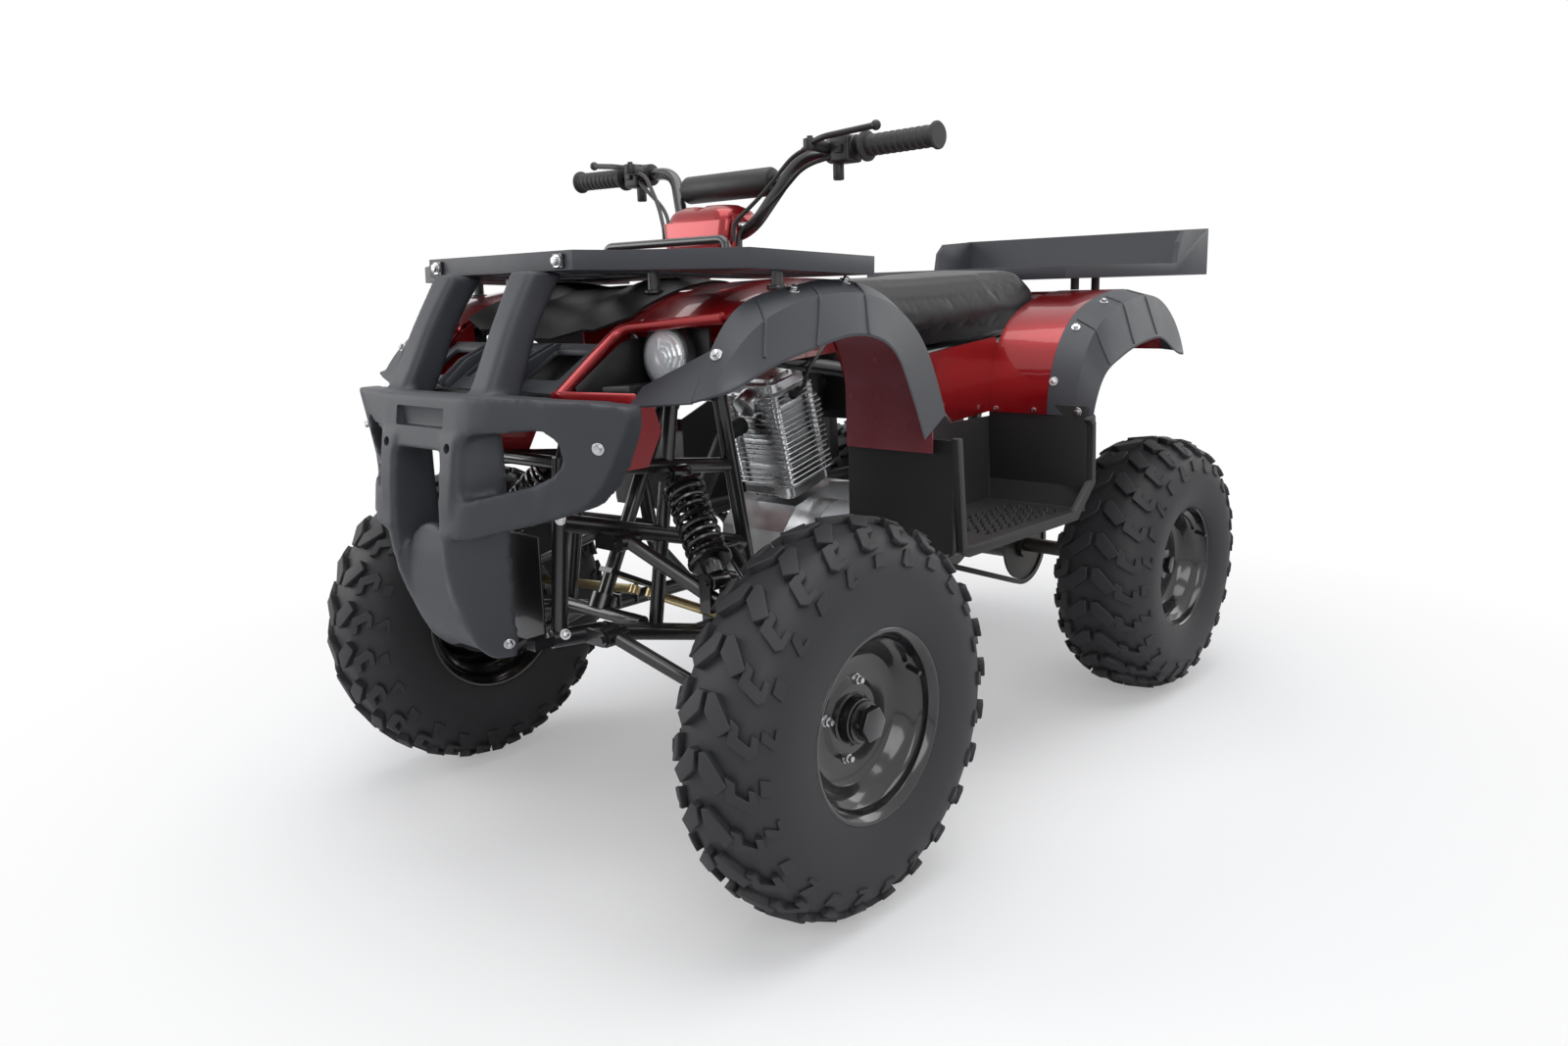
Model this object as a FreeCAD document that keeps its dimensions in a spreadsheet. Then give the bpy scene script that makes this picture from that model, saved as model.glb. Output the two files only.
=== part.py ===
import FreeCAD, Part
import math
import os
import Sketcher
from FreeCAD import Placement, Rotation, Vector

# Quad bike with a front and a rear rack, in millimetres.
# The rider faces -Y, +X is the rider's left, +Z is up, and Z = 0 is the ground.
# The origin is on the ground below the middle of the bike's length and width.

SIZES = {
    # layout of the whole bike
    "front_overhang": 392,
    "wheelbase": 1165,
    "rear_overhang": 403,
    "front_half_track": 470,
    "rear_half_track": 395,
    # wheels and tyres
    "front_tyre_radius": 292,
    "front_tyre_width": 168,
    "rear_tyre_radius": 279,
    "rear_tyre_width": 215,
    "bead_seat_radius": 127,
    "rim_flange_radius": 142,
    "rim_drop_radius": 106,
    "rim_wall": 4,
    "front_rim_width": 140,
    "rear_rim_width": 180,
    "front_dish": 15,
    "rear_dish": 24,
    "wheel_disc": 5,
    "hub_radius": 30,
    "spindle_radius": 12,
    "axle_radius": 17,
    "axle_stub": 46,
    # fits
    "seat_gap": 0.3,
    "running_fit": 0.05,
    # frame
    "main_tube": 14,
    "brace_tube": 11,
    "tube_bend": 45,
    "rail_half": 126,
    "rail_height": 345,
    "bulkhead_half": 95,
    "seat_rail_front": 740,
    "seat_rail_rear": 800,
    # front suspension and steering
    "kingpin_half": 375,
    "arm_pivot_half": 156,
    "upper_ball_height": 370,
    "lower_ball_height": 225,
    "arm_tube": 11,
    "stem_radius": 12.5,
    "stem_lean": 26.8,
    "pitman_arm": 80,
    "pitman_level": 440,
    "pitman_half": 22,
    "tie_rod_radius": 8,
    "shock_eye": 16,
    "shock_body": 24,
    "spring_radius": 34,
    # rear end
    "swingarm_pivot": 365,
    "sprocket_radius": 92,
    "drive_sprocket": 36,
    "chain_line": 80,
    "chain_width": 14,
    "chain_height": 13,
    "brake_disc_radius": 85,
    # bodywork
    "shell_wall": 4,
    "fender_inner": 205,
    "fender_crest": 380,
    "flare_outer": 445,
    "rack_thickness": 27,
    "rack_post": 9,
    "footwell_inner": 216,
    "footwell_outer": 430,
    "footwell_floor": 458,
    # controls
    "bar_radius": 11,
    "bar_half": 430,
    "bar_height": 1122,
    "grip_radius": 16,
    "grip_length": 122,
    "pad_radius": 23,
    "pad_half": 106,
}

document = FreeCAD.newDocument("quad_bike")
sheet = document.addObject("Spreadsheet::Sheet", "sizes")
for row, (alias, amount) in enumerate(SIZES.items(), start=1):
    sheet.set(f"A{row}", alias)
    sheet.set(f"B{row}", str(amount))
    sheet.setAlias(f"B{row}", alias)
document.recompute()


class Dim:
    """A size together with the sheet expression that gives it."""

    def __init__(self, value, text):
        self.value = float(value)
        self.text = text

    def __add__(self, other):
        other = dim(other)
        return Dim(self.value + other.value, f"({self.text} + {other.text})")

    def __sub__(self, other):
        other = dim(other)
        return Dim(self.value - other.value, f"({self.text} - {other.text})")

    def __mul__(self, other):
        other = dim(other)
        return Dim(self.value * other.value, f"({self.text} * {other.text})")

    def __truediv__(self, other):
        other = dim(other)
        return Dim(self.value / other.value, f"({self.text} / {other.text})")

    def __radd__(self, other):
        return dim(other) + self

    def __rsub__(self, other):
        return dim(other) - self

    def __rmul__(self, other):
        return dim(other) * self

    def __neg__(self):
        return dim(0) - self

    def __float__(self):
        return self.value


def dim(amount):
    """The amount as a Dim, whether it is one already or a plain number."""
    if isinstance(amount, Dim):
        return amount
    return Dim(amount, f"({float(amount):.6f})")


class SheetSizes:
    """Reads a named size from the sheet."""

    def __getattr__(self, alias):
        return Dim(sheet.get(alias), f"sizes.{alias}")


S = SheetSizes()
TOTAL_LENGTH = S.front_overhang + S.wheelbase + S.rear_overhang
FRONT_AXLE = S.front_overhang - TOTAL_LENGTH / 2
REAR_AXLE = FRONT_AXLE + S.wheelbase


def front(offset):
    """Y of a place given by its distance behind the front axle."""
    return FRONT_AXLE + offset


def rear(offset):
    """Y of a place given by its distance behind the rear axle."""
    return REAR_AXLE + offset


def point(x, y, z):
    return Vector(float(x), float(y), float(z))


# Helpers for parametric bodies

parts = {}


def keep(item):
    """Registers a finished sub-part under its label."""
    parts[item.Label] = item
    return item


def new_body(label, at=(0, 0, 0)):
    body = document.addObject("PartDesign::Body", label)
    body.Label = label
    for axis, amount in zip("xyz", at):
        body.setExpression(f"Placement.Base.{axis}", dim(amount).text)
    return body


def sketch_on(body, plane, name, lift=0):
    """An empty sketch on one of the body's own planes, lifted along its normal."""
    sketch = body.newObject("Sketcher::SketchObject", f"{body.Label}_{name}")
    base = next(item for item in body.Origin.OriginFeatures if item.Role == plane)
    sketch.AttachmentSupport = [(base, "")]
    sketch.MapMode = "FlatFace"
    sketch.setExpression("AttachmentOffset.Base.z", dim(lift).text)
    return sketch


def hold(sketch, kind, geometry, position, amount):
    """Fixes one coordinate of a sketch point by a bound distance to the origin."""
    amount = dim(amount)
    fixed = Sketcher.Constraint(kind, -1, 1, geometry, position, amount.value)
    index = sketch.addConstraint(fixed)
    name = f"{kind}_{geometry}_{position}"
    sketch.renameConstraint(index, name)
    sketch.setExpression(f"Constraints.{name}", amount.text)


def outline(sketch, corners):
    """Closes a straight-sided outline through the corners, each bound to the sheet."""
    corners = [(dim(a), dim(b)) for a, b in corners]
    first = sketch.GeometryCount
    count = len(corners)
    for index, (a, b) in enumerate(corners):
        next_a, next_b = corners[(index + 1) % count]
        start = Vector(a.value, b.value, 0)
        sketch.addGeometry(Part.LineSegment(start, Vector(next_a.value, next_b.value, 0)), False)
    for index in range(count):
        follower = first + (index + 1) % count
        sketch.addConstraint(Sketcher.Constraint("Coincident", first + index, 2, follower, 1))
    for index, (a, b) in enumerate(corners):
        hold(sketch, "DistanceX", first + index, 1, a)
        hold(sketch, "DistanceY", first + index, 1, b)


def circle(sketch, a, b, radius):
    a, b, radius = dim(a), dim(b), dim(radius)
    centre = Vector(a.value, b.value, 0)
    index = sketch.addGeometry(Part.Circle(centre, Vector(0, 0, 1), radius.value), False)
    hold(sketch, "DistanceX", index, 3, a)
    hold(sketch, "DistanceY", index, 3, b)
    number = sketch.addConstraint(Sketcher.Constraint("Radius", index, radius.value))
    sketch.renameConstraint(number, f"radius_{index}")
    sketch.setExpression(f"Constraints.radius_{index}", radius.text)


def feature(body, kind, sketch, name):
    item = body.newObject(f"PartDesign::{kind}", f"{body.Label}_{name}")
    item.Profile = sketch
    return item


def pad(body, sketch, name, length, backwards=False):
    item = feature(body, "Pad", sketch, name)
    item.setExpression("Length", dim(length).text)
    item.Reversed = backwards
    return item


def pocket(body, sketch, name, length, backwards=False):
    item = feature(body, "Pocket", sketch, name)
    item.setExpression("Length", dim(length).text)
    item.Reversed = backwards
    return item


def revolve(body, sketch, name, axis="H_Axis"):
    item = feature(body, "Revolution", sketch, name)
    item.ReferenceAxis = (sketch, [axis])
    item.Angle = 360
    return item


def row_of(body, item, sketch, name, length, count):
    """Repeats a feature along its sketch's normal."""
    pattern = body.newObject("PartDesign::LinearPattern", f"{body.Label}_{name}")
    pattern.Originals = [item]
    pattern.Direction = (sketch, ["N_Axis"])
    pattern.setExpression("Length", dim(length).text)
    pattern.Occurrences = count
    body.Tip = pattern
    return pattern


def ring_of(body, item, sketch, name, count, axis="N_Axis"):
    """Repeats a feature round an axis of its sketch."""
    pattern = body.newObject("PartDesign::PolarPattern", f"{body.Label}_{name}")
    pattern.Originals = [item]
    pattern.Axis = (sketch, [axis])
    pattern.Angle = 360
    pattern.Occurrences = count
    body.Tip = pattern
    return pattern


# Helpers for free-form shapes

def feature_of(label, shape):
    item = document.addObject("Part::Feature", label)
    item.Label = label
    item.Shape = shape
    return keep(item)


def joined(shapes):
    shapes = list(shapes)
    if len(shapes) == 1:
        return shapes[0]
    return shapes[0].multiFuse(shapes[1:]).removeSplitter()


def mirrored(shape):
    return shape.mirror(Vector(0, 0, 0), Vector(1, 0, 0))


def both_sides(shape):
    """The shape and its mirror image, as solids that don't touch."""
    return Part.makeCompound([shape, mirrored(shape)])


def flip(points):
    """The points on the rider's right that match those on the left."""
    return [(-x, y, z) for x, y, z in points]


def rod(start, end, radius):
    start, end = point(*start), point(*end)
    return Part.makeCylinder(float(radius), (end - start).Length, start, end - start)


def bent_path(corners, bend):
    """Straight runs joined by tangent arcs, as a wire."""
    corners = [point(*corner) for corner in corners]
    edges = []
    start = corners[0]
    for before, corner, after in zip(corners, corners[1:], corners[2:]):
        back = (before - corner).normalize()
        ahead = (after - corner).normalize()
        half_turn = (math.pi - back.getAngle(ahead)) / 2
        room = 0.45 * min((before - corner).Length, (after - corner).Length)
        reach = min(float(bend) * math.tan(half_turn), room)
        radius = reach / math.tan(half_turn)
        arc_start = corner + back * reach
        arc_end = corner + ahead * reach
        inward = (back + ahead).normalize()
        middle = corner + inward * (radius / math.cos(half_turn) - radius)
        edges.append(Part.LineSegment(start, arc_start).toShape())
        edges.append(Part.Arc(arc_start, middle, arc_end).toShape())
        start = arc_end
    edges.append(Part.LineSegment(start, corners[-1]).toShape())
    return Part.Wire(edges)


def tube(corners, radius, bend):
    """A round bar bent along the corners."""
    path = bent_path(corners, bend)
    heading = point(*corners[1]) - point(*corners[0])
    end = Part.Wire(Part.Circle(point(*corners[0]), heading, float(radius)).toShape())
    return path.makePipeShell([end], True, False)


def polygon(corners):
    corners = [point(*corner) for corner in corners]
    return Part.Face(Part.makePolygon(corners + corners[:1]))


def side_plate(profile, x_from, x_to):
    """A plate cut to a side-view profile of (y, z) corners, between two X planes."""
    face = polygon([(x_from, y, z) for y, z in profile])
    return face.extrude(Vector(float(x_to) - float(x_from), 0, 0))


def flat_plate(profile, z_from, z_to):
    """A plate cut to a plan-view profile of (x, y) corners, between two heights."""
    face = polygon([(x, y, z_from) for x, y in profile])
    return face.extrude(Vector(0, 0, float(z_to) - float(z_from)))


def box(low, high):
    low, high = point(*low), point(*high)
    size = high - low
    return Part.makeBox(size.x, size.y, size.z, low)


def blend_of(sections):
    """A solid with flat sides through polygons that have the same number of corners."""
    wires = []
    for section in sections:
        corners = [point(*corner) for corner in section]
        wires.append(Part.makePolygon(corners + corners[:1]))
    return Part.makeLoft(wires, True, True)


def curve_through(points):
    line = Part.BSplineCurve()
    line.interpolate(points)
    return line.toShape()


def inward_offset(points, wall):
    """The side-view points moved by the wall towards the inside of the arch."""
    moved = []
    for index, here in enumerate(points):
        before = points[max(index - 1, 0)]
        after = points[min(index + 1, len(points) - 1)]
        along = (after - before).normalize()
        moved.append(here + Vector(0, along.z, -along.y) * float(wall))
    return moved


def arch_shell(sections, wall):
    """A curved sheet of even wall between side-view curves: (x, [(y, z), ...]) each."""
    wires = []
    for x, curve in sections:
        top = [point(x, y, z) for y, z in curve]
        under = inward_offset(top, wall)
        edges = [
            curve_through(top),
            Part.LineSegment(top[-1], under[-1]).toShape(),
            curve_through(under[::-1]),
            Part.LineSegment(under[0], top[0]).toShape(),
        ]
        wires.append(Part.Wire(edges))
    return Part.makeLoft(wires, True, True)


def front_curve(pairs):
    return [(front(y), z) for y, z in pairs]


def rear_curve(pairs):
    return [(rear(y), z) for y, z in pairs]


# Wheels

def tyre_profile(half_width, radius, rim_width):
    """Half of a tyre's section from bead to crown, as (offset, radius) corners."""
    bead = S.bead_seat_radius + S.seat_gap
    bead_half = rim_width / 2 - S.rim_wall - S.seat_gap
    depth = radius - bead
    bulge = half_width - bead_half
    return [
        (bead_half, bead),
        (bead_half, S.rim_flange_radius),
        (bead_half + bulge * 0.55, bead + depth * 0.22),
        (half_width, bead + depth * 0.5),
        (half_width - bulge * 0.15, bead + depth * 0.76),
        (half_width * 0.82, bead + depth * 0.95),
        (half_width * 0.5, radius),
    ]


def add_tyre(label, centre, half_width, radius, rim_width):
    body = new_body(label, centre)
    half = tyre_profile(half_width, radius, rim_width)
    other = [(-offset, height) for offset, height in half[::-1]]
    section = sketch_on(body, "XZ_Plane", "section")
    outline(section, half + other)
    revolve(body, section, "carcass")
    keep(body)


def rim_outline(rim_width, dish, side, hub):
    """A wheel's section from flange to flange with its disc and hub, outboard is side."""
    half = rim_width / 2
    wall = S.rim_wall
    seat = S.bead_seat_radius
    drop = S.rim_drop_radius
    inner_face = dish - S.wheel_disc
    corners = [
        (half, S.rim_flange_radius),
        (half - wall, S.rim_flange_radius),
        (half - wall, seat),
        (half - 26, seat),
        (half - 38, drop),
        (38 - half, drop),
        (26 - half, seat),
        (wall - half, seat),
        (wall - half, S.rim_flange_radius),
        (-half, S.rim_flange_radius),
        (-half, seat - wall),
        (24 - half, seat - wall),
        (36 - half, drop - wall),
        (inner_face, drop - wall),
        (inner_face, S.hub_radius),
    ]
    corners += hub
    corners += [
        (dish, S.hub_radius),
        (dish, drop - wall),
        (half - 36, drop - wall),
        (half - 24, seat - wall),
        (half, seat - wall),
    ]
    return [(side * offset, height) for offset, height in corners]


def add_front_rim(label, side):
    """Front wheel with a brake drum inboard and a closed hub cap outboard."""
    bore = S.spindle_radius + S.running_fit
    drum_inner = dim(-20)
    hub_inner = dim(-26)
    bore_end = dim(40)
    cap_end = dim(62)
    hub = [
        (hub_inner, S.hub_radius),
        (hub_inner, bore),
        (bore_end, bore),
        (bore_end, 0),
        (cap_end, 0),
        (cap_end, S.hub_radius - 8),
        (S.front_dish + 20, S.hub_radius - 4),
    ]
    body = new_body(label, (side * S.front_half_track, FRONT_AXLE, S.front_tyre_radius))
    section = sketch_on(body, "XZ_Plane", "section")
    outline(section, rim_outline(S.front_rim_width, S.front_dish, side, hub))
    revolve(body, section, "wheel")
    drum = sketch_on(body, "XZ_Plane", "drum")
    inner_face = S.front_dish - S.wheel_disc
    rim_of_drum = [(drum_inner, 78), (drum_inner, 83), (inner_face, 83), (inner_face, 78)]
    outline(drum, [(side * offset, height) for offset, height in rim_of_drum])
    revolve(body, drum, "brake_drum")
    keep(body)


def add_rear_rim(label, side):
    """Rear wheel bored for the axle, with its hub open at both ends."""
    bore = S.axle_radius + S.running_fit
    hub_inner = dim(-20)
    hub = [
        (hub_inner, S.hub_radius),
        (hub_inner, bore),
        (S.rear_dish + 16, bore),
        (S.rear_dish + 16, S.hub_radius - 4),
    ]
    body = new_body(label, (side * S.rear_half_track, REAR_AXLE, S.rear_tyre_radius))
    section = sketch_on(body, "XZ_Plane", "section")
    outline(section, rim_outline(S.rear_rim_width, S.rear_dish, side, hub))
    revolve(body, section, "wheel")
    keep(body)


def add_wheels():
    for name, side in (("left", 1), ("right", -1)):
        centre = (side * S.front_half_track, FRONT_AXLE, S.front_tyre_radius)
        add_tyre(f"front_tyre_{name}", centre, S.front_tyre_width / 2,
                 S.front_tyre_radius, S.front_rim_width)
        add_front_rim(f"front_rim_{name}", side)
        centre = (side * S.rear_half_track, REAR_AXLE, S.rear_tyre_radius)
        add_tyre(f"rear_tyre_{name}", centre, S.rear_tyre_width / 2,
                 S.rear_tyre_radius, S.rear_rim_width)
        add_rear_rim(f"rear_rim_{name}", side)


def add_rear_axle():
    """Live axle with the chain sprocket on the left and the brake disc on the right."""
    body = new_body("rear_axle", (0, REAR_AXLE, S.rear_tyre_radius))
    shaft_end = S.rear_half_track + S.axle_stub
    section = sketch_on(body, "XZ_Plane", "section")
    line = S.chain_line
    hub = S.axle_radius + 15
    disc_at = dim(-120)
    outline(section, [
        (-shaft_end, 0),
        (-shaft_end, S.axle_radius),
        (disc_at - 12, S.axle_radius),
        (disc_at - 12, hub),
        (disc_at - 2, hub),
        (disc_at - 2, S.brake_disc_radius),
        (disc_at + 2, S.brake_disc_radius),
        (disc_at + 2, hub),
        (disc_at + 20, hub),
        (disc_at + 20, S.axle_radius),
        (line - 12, S.axle_radius),
        (line - 12, hub),
        (line - 3, hub),
        (line - 3, S.sprocket_radius - 7),
        (line + 3, S.sprocket_radius - 7),
        (line + 3, hub),
        (line + 12, hub),
        (line + 12, S.axle_radius),
        (shaft_end, S.axle_radius),
        (shaft_end, 0),
    ])
    revolve(body, section, "shaft")
    keep(body)


# Frame

UPPER_PIVOTS = ((-121, 532), (95, 476))
LOWER_PIVOTS = ((-156, 391), (95, 351))
SHOCK_TOP = (150, -5, 619)
SHOCK_FOOT = (285, -60, 478)
REAR_SHOCK_TOP = (-280, 640)
REAR_SHOCK_FOOT = (-150, 335)
PIN_RADIUS = 5
EYE_HALF = 18
PIVOT_PLATE = 18


def seat_rail_height(y):
    """Height of the seat rails' centre line at a place along the bike."""
    start, end = front(500), rear(-15)
    share = (float(y) - float(start)) / (float(end) - float(start))
    return S.seat_rail_front + (S.seat_rail_rear - S.seat_rail_front) * share


def side_tubes():
    """The tubes on the rider's left."""
    half = S.rail_half
    low = S.rail_height
    cradle = [
        (S.bulkhead_half, front(-226), low + 48),
        (half - 14, front(-150), low + 46),
        (half, front(40), low),
        (half, rear(-S.swingarm_pivot), low),
        (half, rear(-238), seat_rail_height(rear(-238))),
    ]
    seat_rail = [
        (60, front(95), 815),
        (65, front(160), 800),
        (half - 14, front(500), S.seat_rail_front),
        (half, rear(-15), S.seat_rail_rear),
        (half, rear(46), S.seat_rail_rear + 4),
    ]
    down_tube = [
        (half - 16, front(118), 796),
        (half - 8, front(125), 725),
        (half - 4, front(172), 440),
        (half, front(262), low),
    ]
    upper_rail = [(S.bulkhead_half + 8, front(-200), 568), (half - 6, front(168), 472)]
    top_rail = [(S.bulkhead_half + 8, front(-196), 650), (half - 8, front(150), 610)]
    bulkhead = [(S.bulkhead_half, front(-212), low + 40), (S.bulkhead_half + 4, front(-190), 664)]
    shock_post = [(half - 18, front(30), 752), (half - 14, front(-36), low + 20)]
    top_link = [(half - 18, front(20), 745), (half - 16, front(118), 770)]
    rear_brace = [(half, rear(-350), low + 20), (half, rear(-40), 620), (half, rear(40), 806)]
    main = S.main_tube
    brace = S.brace_tube
    bend = S.tube_bend
    return [
        tube(cradle, main, bend),
        tube(seat_rail, main, bend),
        tube(down_tube, main - 1, bend),
        rod(*upper_rail, main - 0.5),
        rod(*top_rail, brace + 1),
        rod(*bulkhead, brace + 1.5),
        rod(*shock_post, brace + 0.5),
        rod(*top_link, brace),
        tube(rear_brace, brace, bend),
    ]


def pivot_lug(pivot_x, y, z, from_x):
    """Two ears with a pin along Y, which hold an eye between them."""
    half = EYE_HALF + 0.3
    shapes = []
    for side in (-1, 1):
        near = y + side * half
        far = y + side * (half + 4)
        low, high = sorted((float(near), float(far)))
        ear = [(from_x, z - 12), (pivot_x, z - 12), (pivot_x + 8, z - 5), (pivot_x + 8, z + 5),
               (pivot_x, z + 12), (from_x, z + 12)]
        face = polygon([(x, low, height) for x, height in ear])
        shapes.append(face.extrude(Vector(0, high - low, 0)))
    reach = half + 9
    shapes.append(rod((pivot_x, y - reach, z), (pivot_x, y + reach, z), PIN_RADIUS))
    return shapes


def frame_lugs():
    """Lugs on the left for both wishbones and for the top of the shock."""
    shapes = []
    for y, z in UPPER_PIVOTS + LOWER_PIVOTS:
        shapes += pivot_lug(S.arm_pivot_half, front(y), dim(z), S.rail_half - 18)
    x, y, z = SHOCK_TOP
    shapes += pivot_lug(dim(x), front(y), dim(z), S.rail_half - 20)
    return shapes


def stem_point(height):
    """The point of the steering axis at a height."""
    lean = math.tan(math.radians(float(S.stem_lean)))
    return (dim(0), front(245 + (float(height) - 985) * lean), dim(height))


def stem_direction():
    lean = math.radians(float(S.stem_lean))
    return Vector(0, math.sin(lean), math.cos(lean))


def cross_tube(half, y, z, radius):
    return rod((-half, y, z), (half, y, z), radius)


def frame_cross_tubes():
    half = S.rail_half
    low = S.rail_height
    brace = S.brace_tube
    engine_front = front(350)
    engine_back = front(575)
    return [
        cross_tube(S.bulkhead_half, front(-212), low + 40, brace),
        cross_tube(S.bulkhead_half, front(-198), 575, brace),
        cross_tube(S.bulkhead_half, front(-191), 655, brace - 1),
        cross_tube(half - 12, front(-62), low + 38, brace),
        cross_tube(half - 10, front(116), 730, brace + 0.5),
        cross_tube(half, engine_front, low, brace),
        cross_tube(half, engine_back, low, brace),
        cross_tube(half - 12, front(540), seat_rail_height(front(540)), brace),
        cross_tube(half, rear(REAR_SHOCK_TOP[0]), REAR_SHOCK_TOP[1], brace + 1),
        cross_tube(half, rear(-30), seat_rail_height(rear(-30)), brace),
        cross_tube(half, rear(40), S.seat_rail_rear + 4, brace + 1),
    ]


def stem_holders():
    """Upper bearing and lower cup of the steering stem, before their bore is cut."""
    along = stem_direction()
    ring = Part.makeCylinder(27, 44, point(*stem_point(730)) - along * 22, along)
    cup = Part.makeCylinder(22, 26, point(*stem_point(394)) - along * 10, along)
    return [ring, cup]


def stem_bore():
    foot = point(*stem_point(392))
    reach = Part.makeCylinder(float(S.stem_radius + S.running_fit), 500, foot, stem_direction())
    return reach


def swingarm_plate():
    """Plate inside the cradle on the left, which carries the swingarm's pivot pin."""
    y = rear(-S.swingarm_pivot)
    z = S.rail_height
    inner = S.rail_half - PIVOT_PLATE
    profile = [(y - 34, z - 10), (y - 20, z + 30), (y + 20, z + 30), (y + 34, z - 10), (y, z - 24)]
    return side_plate(profile, inner, inner + 8)


def footrest_tubes():
    """Outriggers under the footwell floor on the left, joined by an outer bar."""
    low = S.rail_height
    level = S.footwell_floor - S.brace_tube - S.seat_gap
    outer = S.footwell_outer - 36
    shapes = []
    for y in (430, 700):
        route = [(S.rail_half, front(y), low), (S.rail_half + 70, front(y), level),
                 (outer, front(y), level)]
        shapes.append(tube(route, S.brace_tube, 40))
    shapes.append(rod((outer - 12, front(410), level), (outer - 12, front(725), level), 10))
    return shapes


def body_stays():
    """Tabs that carry the front guard, the front fenders and the tail on the left."""
    guard = box((82, front(-262 + S.seat_gap), 384), (103, front(-212), 400))
    bridge = 800 - S.seat_gap
    stay = rod((98, front(-190), 655), (92, front(-140), 790), 9)
    pad_under = box((80, front(-150), 784), (104, front(-130), bridge))
    tail = curve_height(REAR_CREST, 16) - 6.6 - S.seat_gap
    riser = box((S.rail_half - 8, rear(-6), 800), (S.rail_half + 8, rear(16), tail))
    return [guard, stay, pad_under, riser]


def add_frame():
    """The two welded side frames, and the bars between and outside them, coped to fit."""
    side = joined(side_tubes() + frame_lugs() + body_stays() + [swingarm_plate()])
    feature_of("frame", both_sides(side))
    pivot_pin = cross_tube(S.rail_half - PIVOT_PLATE + 4, rear(-S.swingarm_pivot), S.rail_height, 9)
    footrest = footrest_tubes()
    bars = frame_cross_tubes() + stem_holders() + [pivot_pin] + footrest
    bars += [mirrored(shape) for shape in footrest]
    coped = joined(bars).cut(stem_bore()).cut(side).cut(mirrored(side))
    feature_of("frame_bars", coped)


# Front suspension

def eye_along_y(x, y, z, radius):
    start = (x, y - EYE_HALF, z)
    end = (x, y + EYE_HALF, z)
    return rod(start, end, radius)


def eye_bore(x, y, z, radius):
    start = (x, y - EYE_HALF - 1, z)
    end = (x, y + EYE_HALF + 1, z)
    return rod(start, end, radius)


def wishbone(pivots, ball_height, grows):
    """Two legs from the frame pivots to an upright eye at the kingpin."""
    x = S.arm_pivot_half
    ball = (S.kingpin_half, FRONT_AXLE, ball_height)
    legs = []
    bores = []
    for y, z in pivots:
        legs.append(rod((x + 6, front(y), z), ball, S.arm_tube))
        legs.append(eye_along_y(x, front(y), z, 13))
        bores.append(eye_bore(x, front(y), z, PIN_RADIUS + 0.3))
    half = 9
    eye_low = ball_height - half + grows
    eye_top = ball_height + half + grows
    legs.append(rod((ball[0], ball[1], eye_low), (ball[0], ball[1], eye_top), 17))
    shape = joined(legs)
    pin = S.spindle_radius - 4 + S.running_fit
    bores.append(rod((ball[0], ball[1], ball_height - 60), (ball[0], ball[1], ball_height + 60), pin))
    room = rod((ball[0], ball[1], eye_top), (ball[0], ball[1], eye_top + 40), 20)
    under = rod((ball[0], ball[1], eye_low - 40), (ball[0], ball[1], eye_low), 20)
    for tool in bores + [room, under]:
        shape = shape.cut(tool)
    return shape


def shock_saddle():
    """Ears on the upper wishbone's front leg for the shock's foot."""
    x, y, z = SHOCK_FOOT
    shapes = pivot_lug(dim(x), front(y), dim(z), dim(x) - 16)
    leg_top = z - 30
    for side in (-1, 1):
        near, far = sorted((side * (EYE_HALF + 0.3), side * (EYE_HALF + 4.3)))
        low = (dim(x) - 16, front(y) + near, leg_top - 12)
        high = (dim(x) + 6, front(y) + far, dim(z) - 5)
        shapes.append(box(low, high))
    base_low = (dim(x) - 16, front(y) - EYE_HALF - 4, leg_top - 16)
    base_high = (dim(x) + 6, front(y) + EYE_HALF + 4, leg_top - 8)
    shapes.append(box(base_low, base_high))
    return shapes


def add_suspension_arms():
    upper = wishbone(UPPER_PIVOTS, S.upper_ball_height, 0)
    upper = joined([upper] + shock_saddle())
    lower = wishbone(LOWER_PIVOTS, S.lower_ball_height, 0)
    shapes = [upper, lower, mirrored(upper), mirrored(lower)]
    feature_of("suspension_arms", Part.makeCompound(shapes))


def shock(top, foot, cross):
    """A coil-over shock between two eyes whose pins lie along the cross direction."""
    top, foot = point(*top), point(*foot)
    along = (foot - top).normalize()
    eye = float(S.shock_eye)
    length = (foot - top).Length
    parts_of_it = []
    for end in (top, foot):
        parts_of_it.append(Part.makeCylinder(eye - 3, 2 * EYE_HALF, end - cross * EYE_HALF, cross))
    body = float(S.shock_body)
    start = top + along * (eye - 8)
    parts_of_it.append(Part.makeCylinder(10, length - 2 * (eye - 8), start, along))
    parts_of_it.append(Part.makeCylinder(body, length * 0.42, top + along * (eye + 16), along))
    spring_start = top + along * (eye + 20)
    spring = Part.makeCylinder(float(S.spring_radius), length - 2 * eye - 40, spring_start, along)
    parts_of_it.append(spring)
    return joined(parts_of_it)


def add_front_shocks():
    cross = Vector(0, 1, 0)
    top = (SHOCK_TOP[0], front(SHOCK_TOP[1]), SHOCK_TOP[2])
    foot = (SHOCK_FOOT[0], front(SHOCK_FOOT[1]), SHOCK_FOOT[2])
    shape = shock(top, foot, cross)
    for end in (top, foot):
        shape = shape.cut(eye_bore(*end, PIN_RADIUS + 0.3))
    feature_of("front_shocks", both_sides(shape))


def tie_rod_eye():
    """Where the left tie rod meets the steering arm of the knuckle."""
    return (S.kingpin_half - 15, front(85), dim(352))


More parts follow.
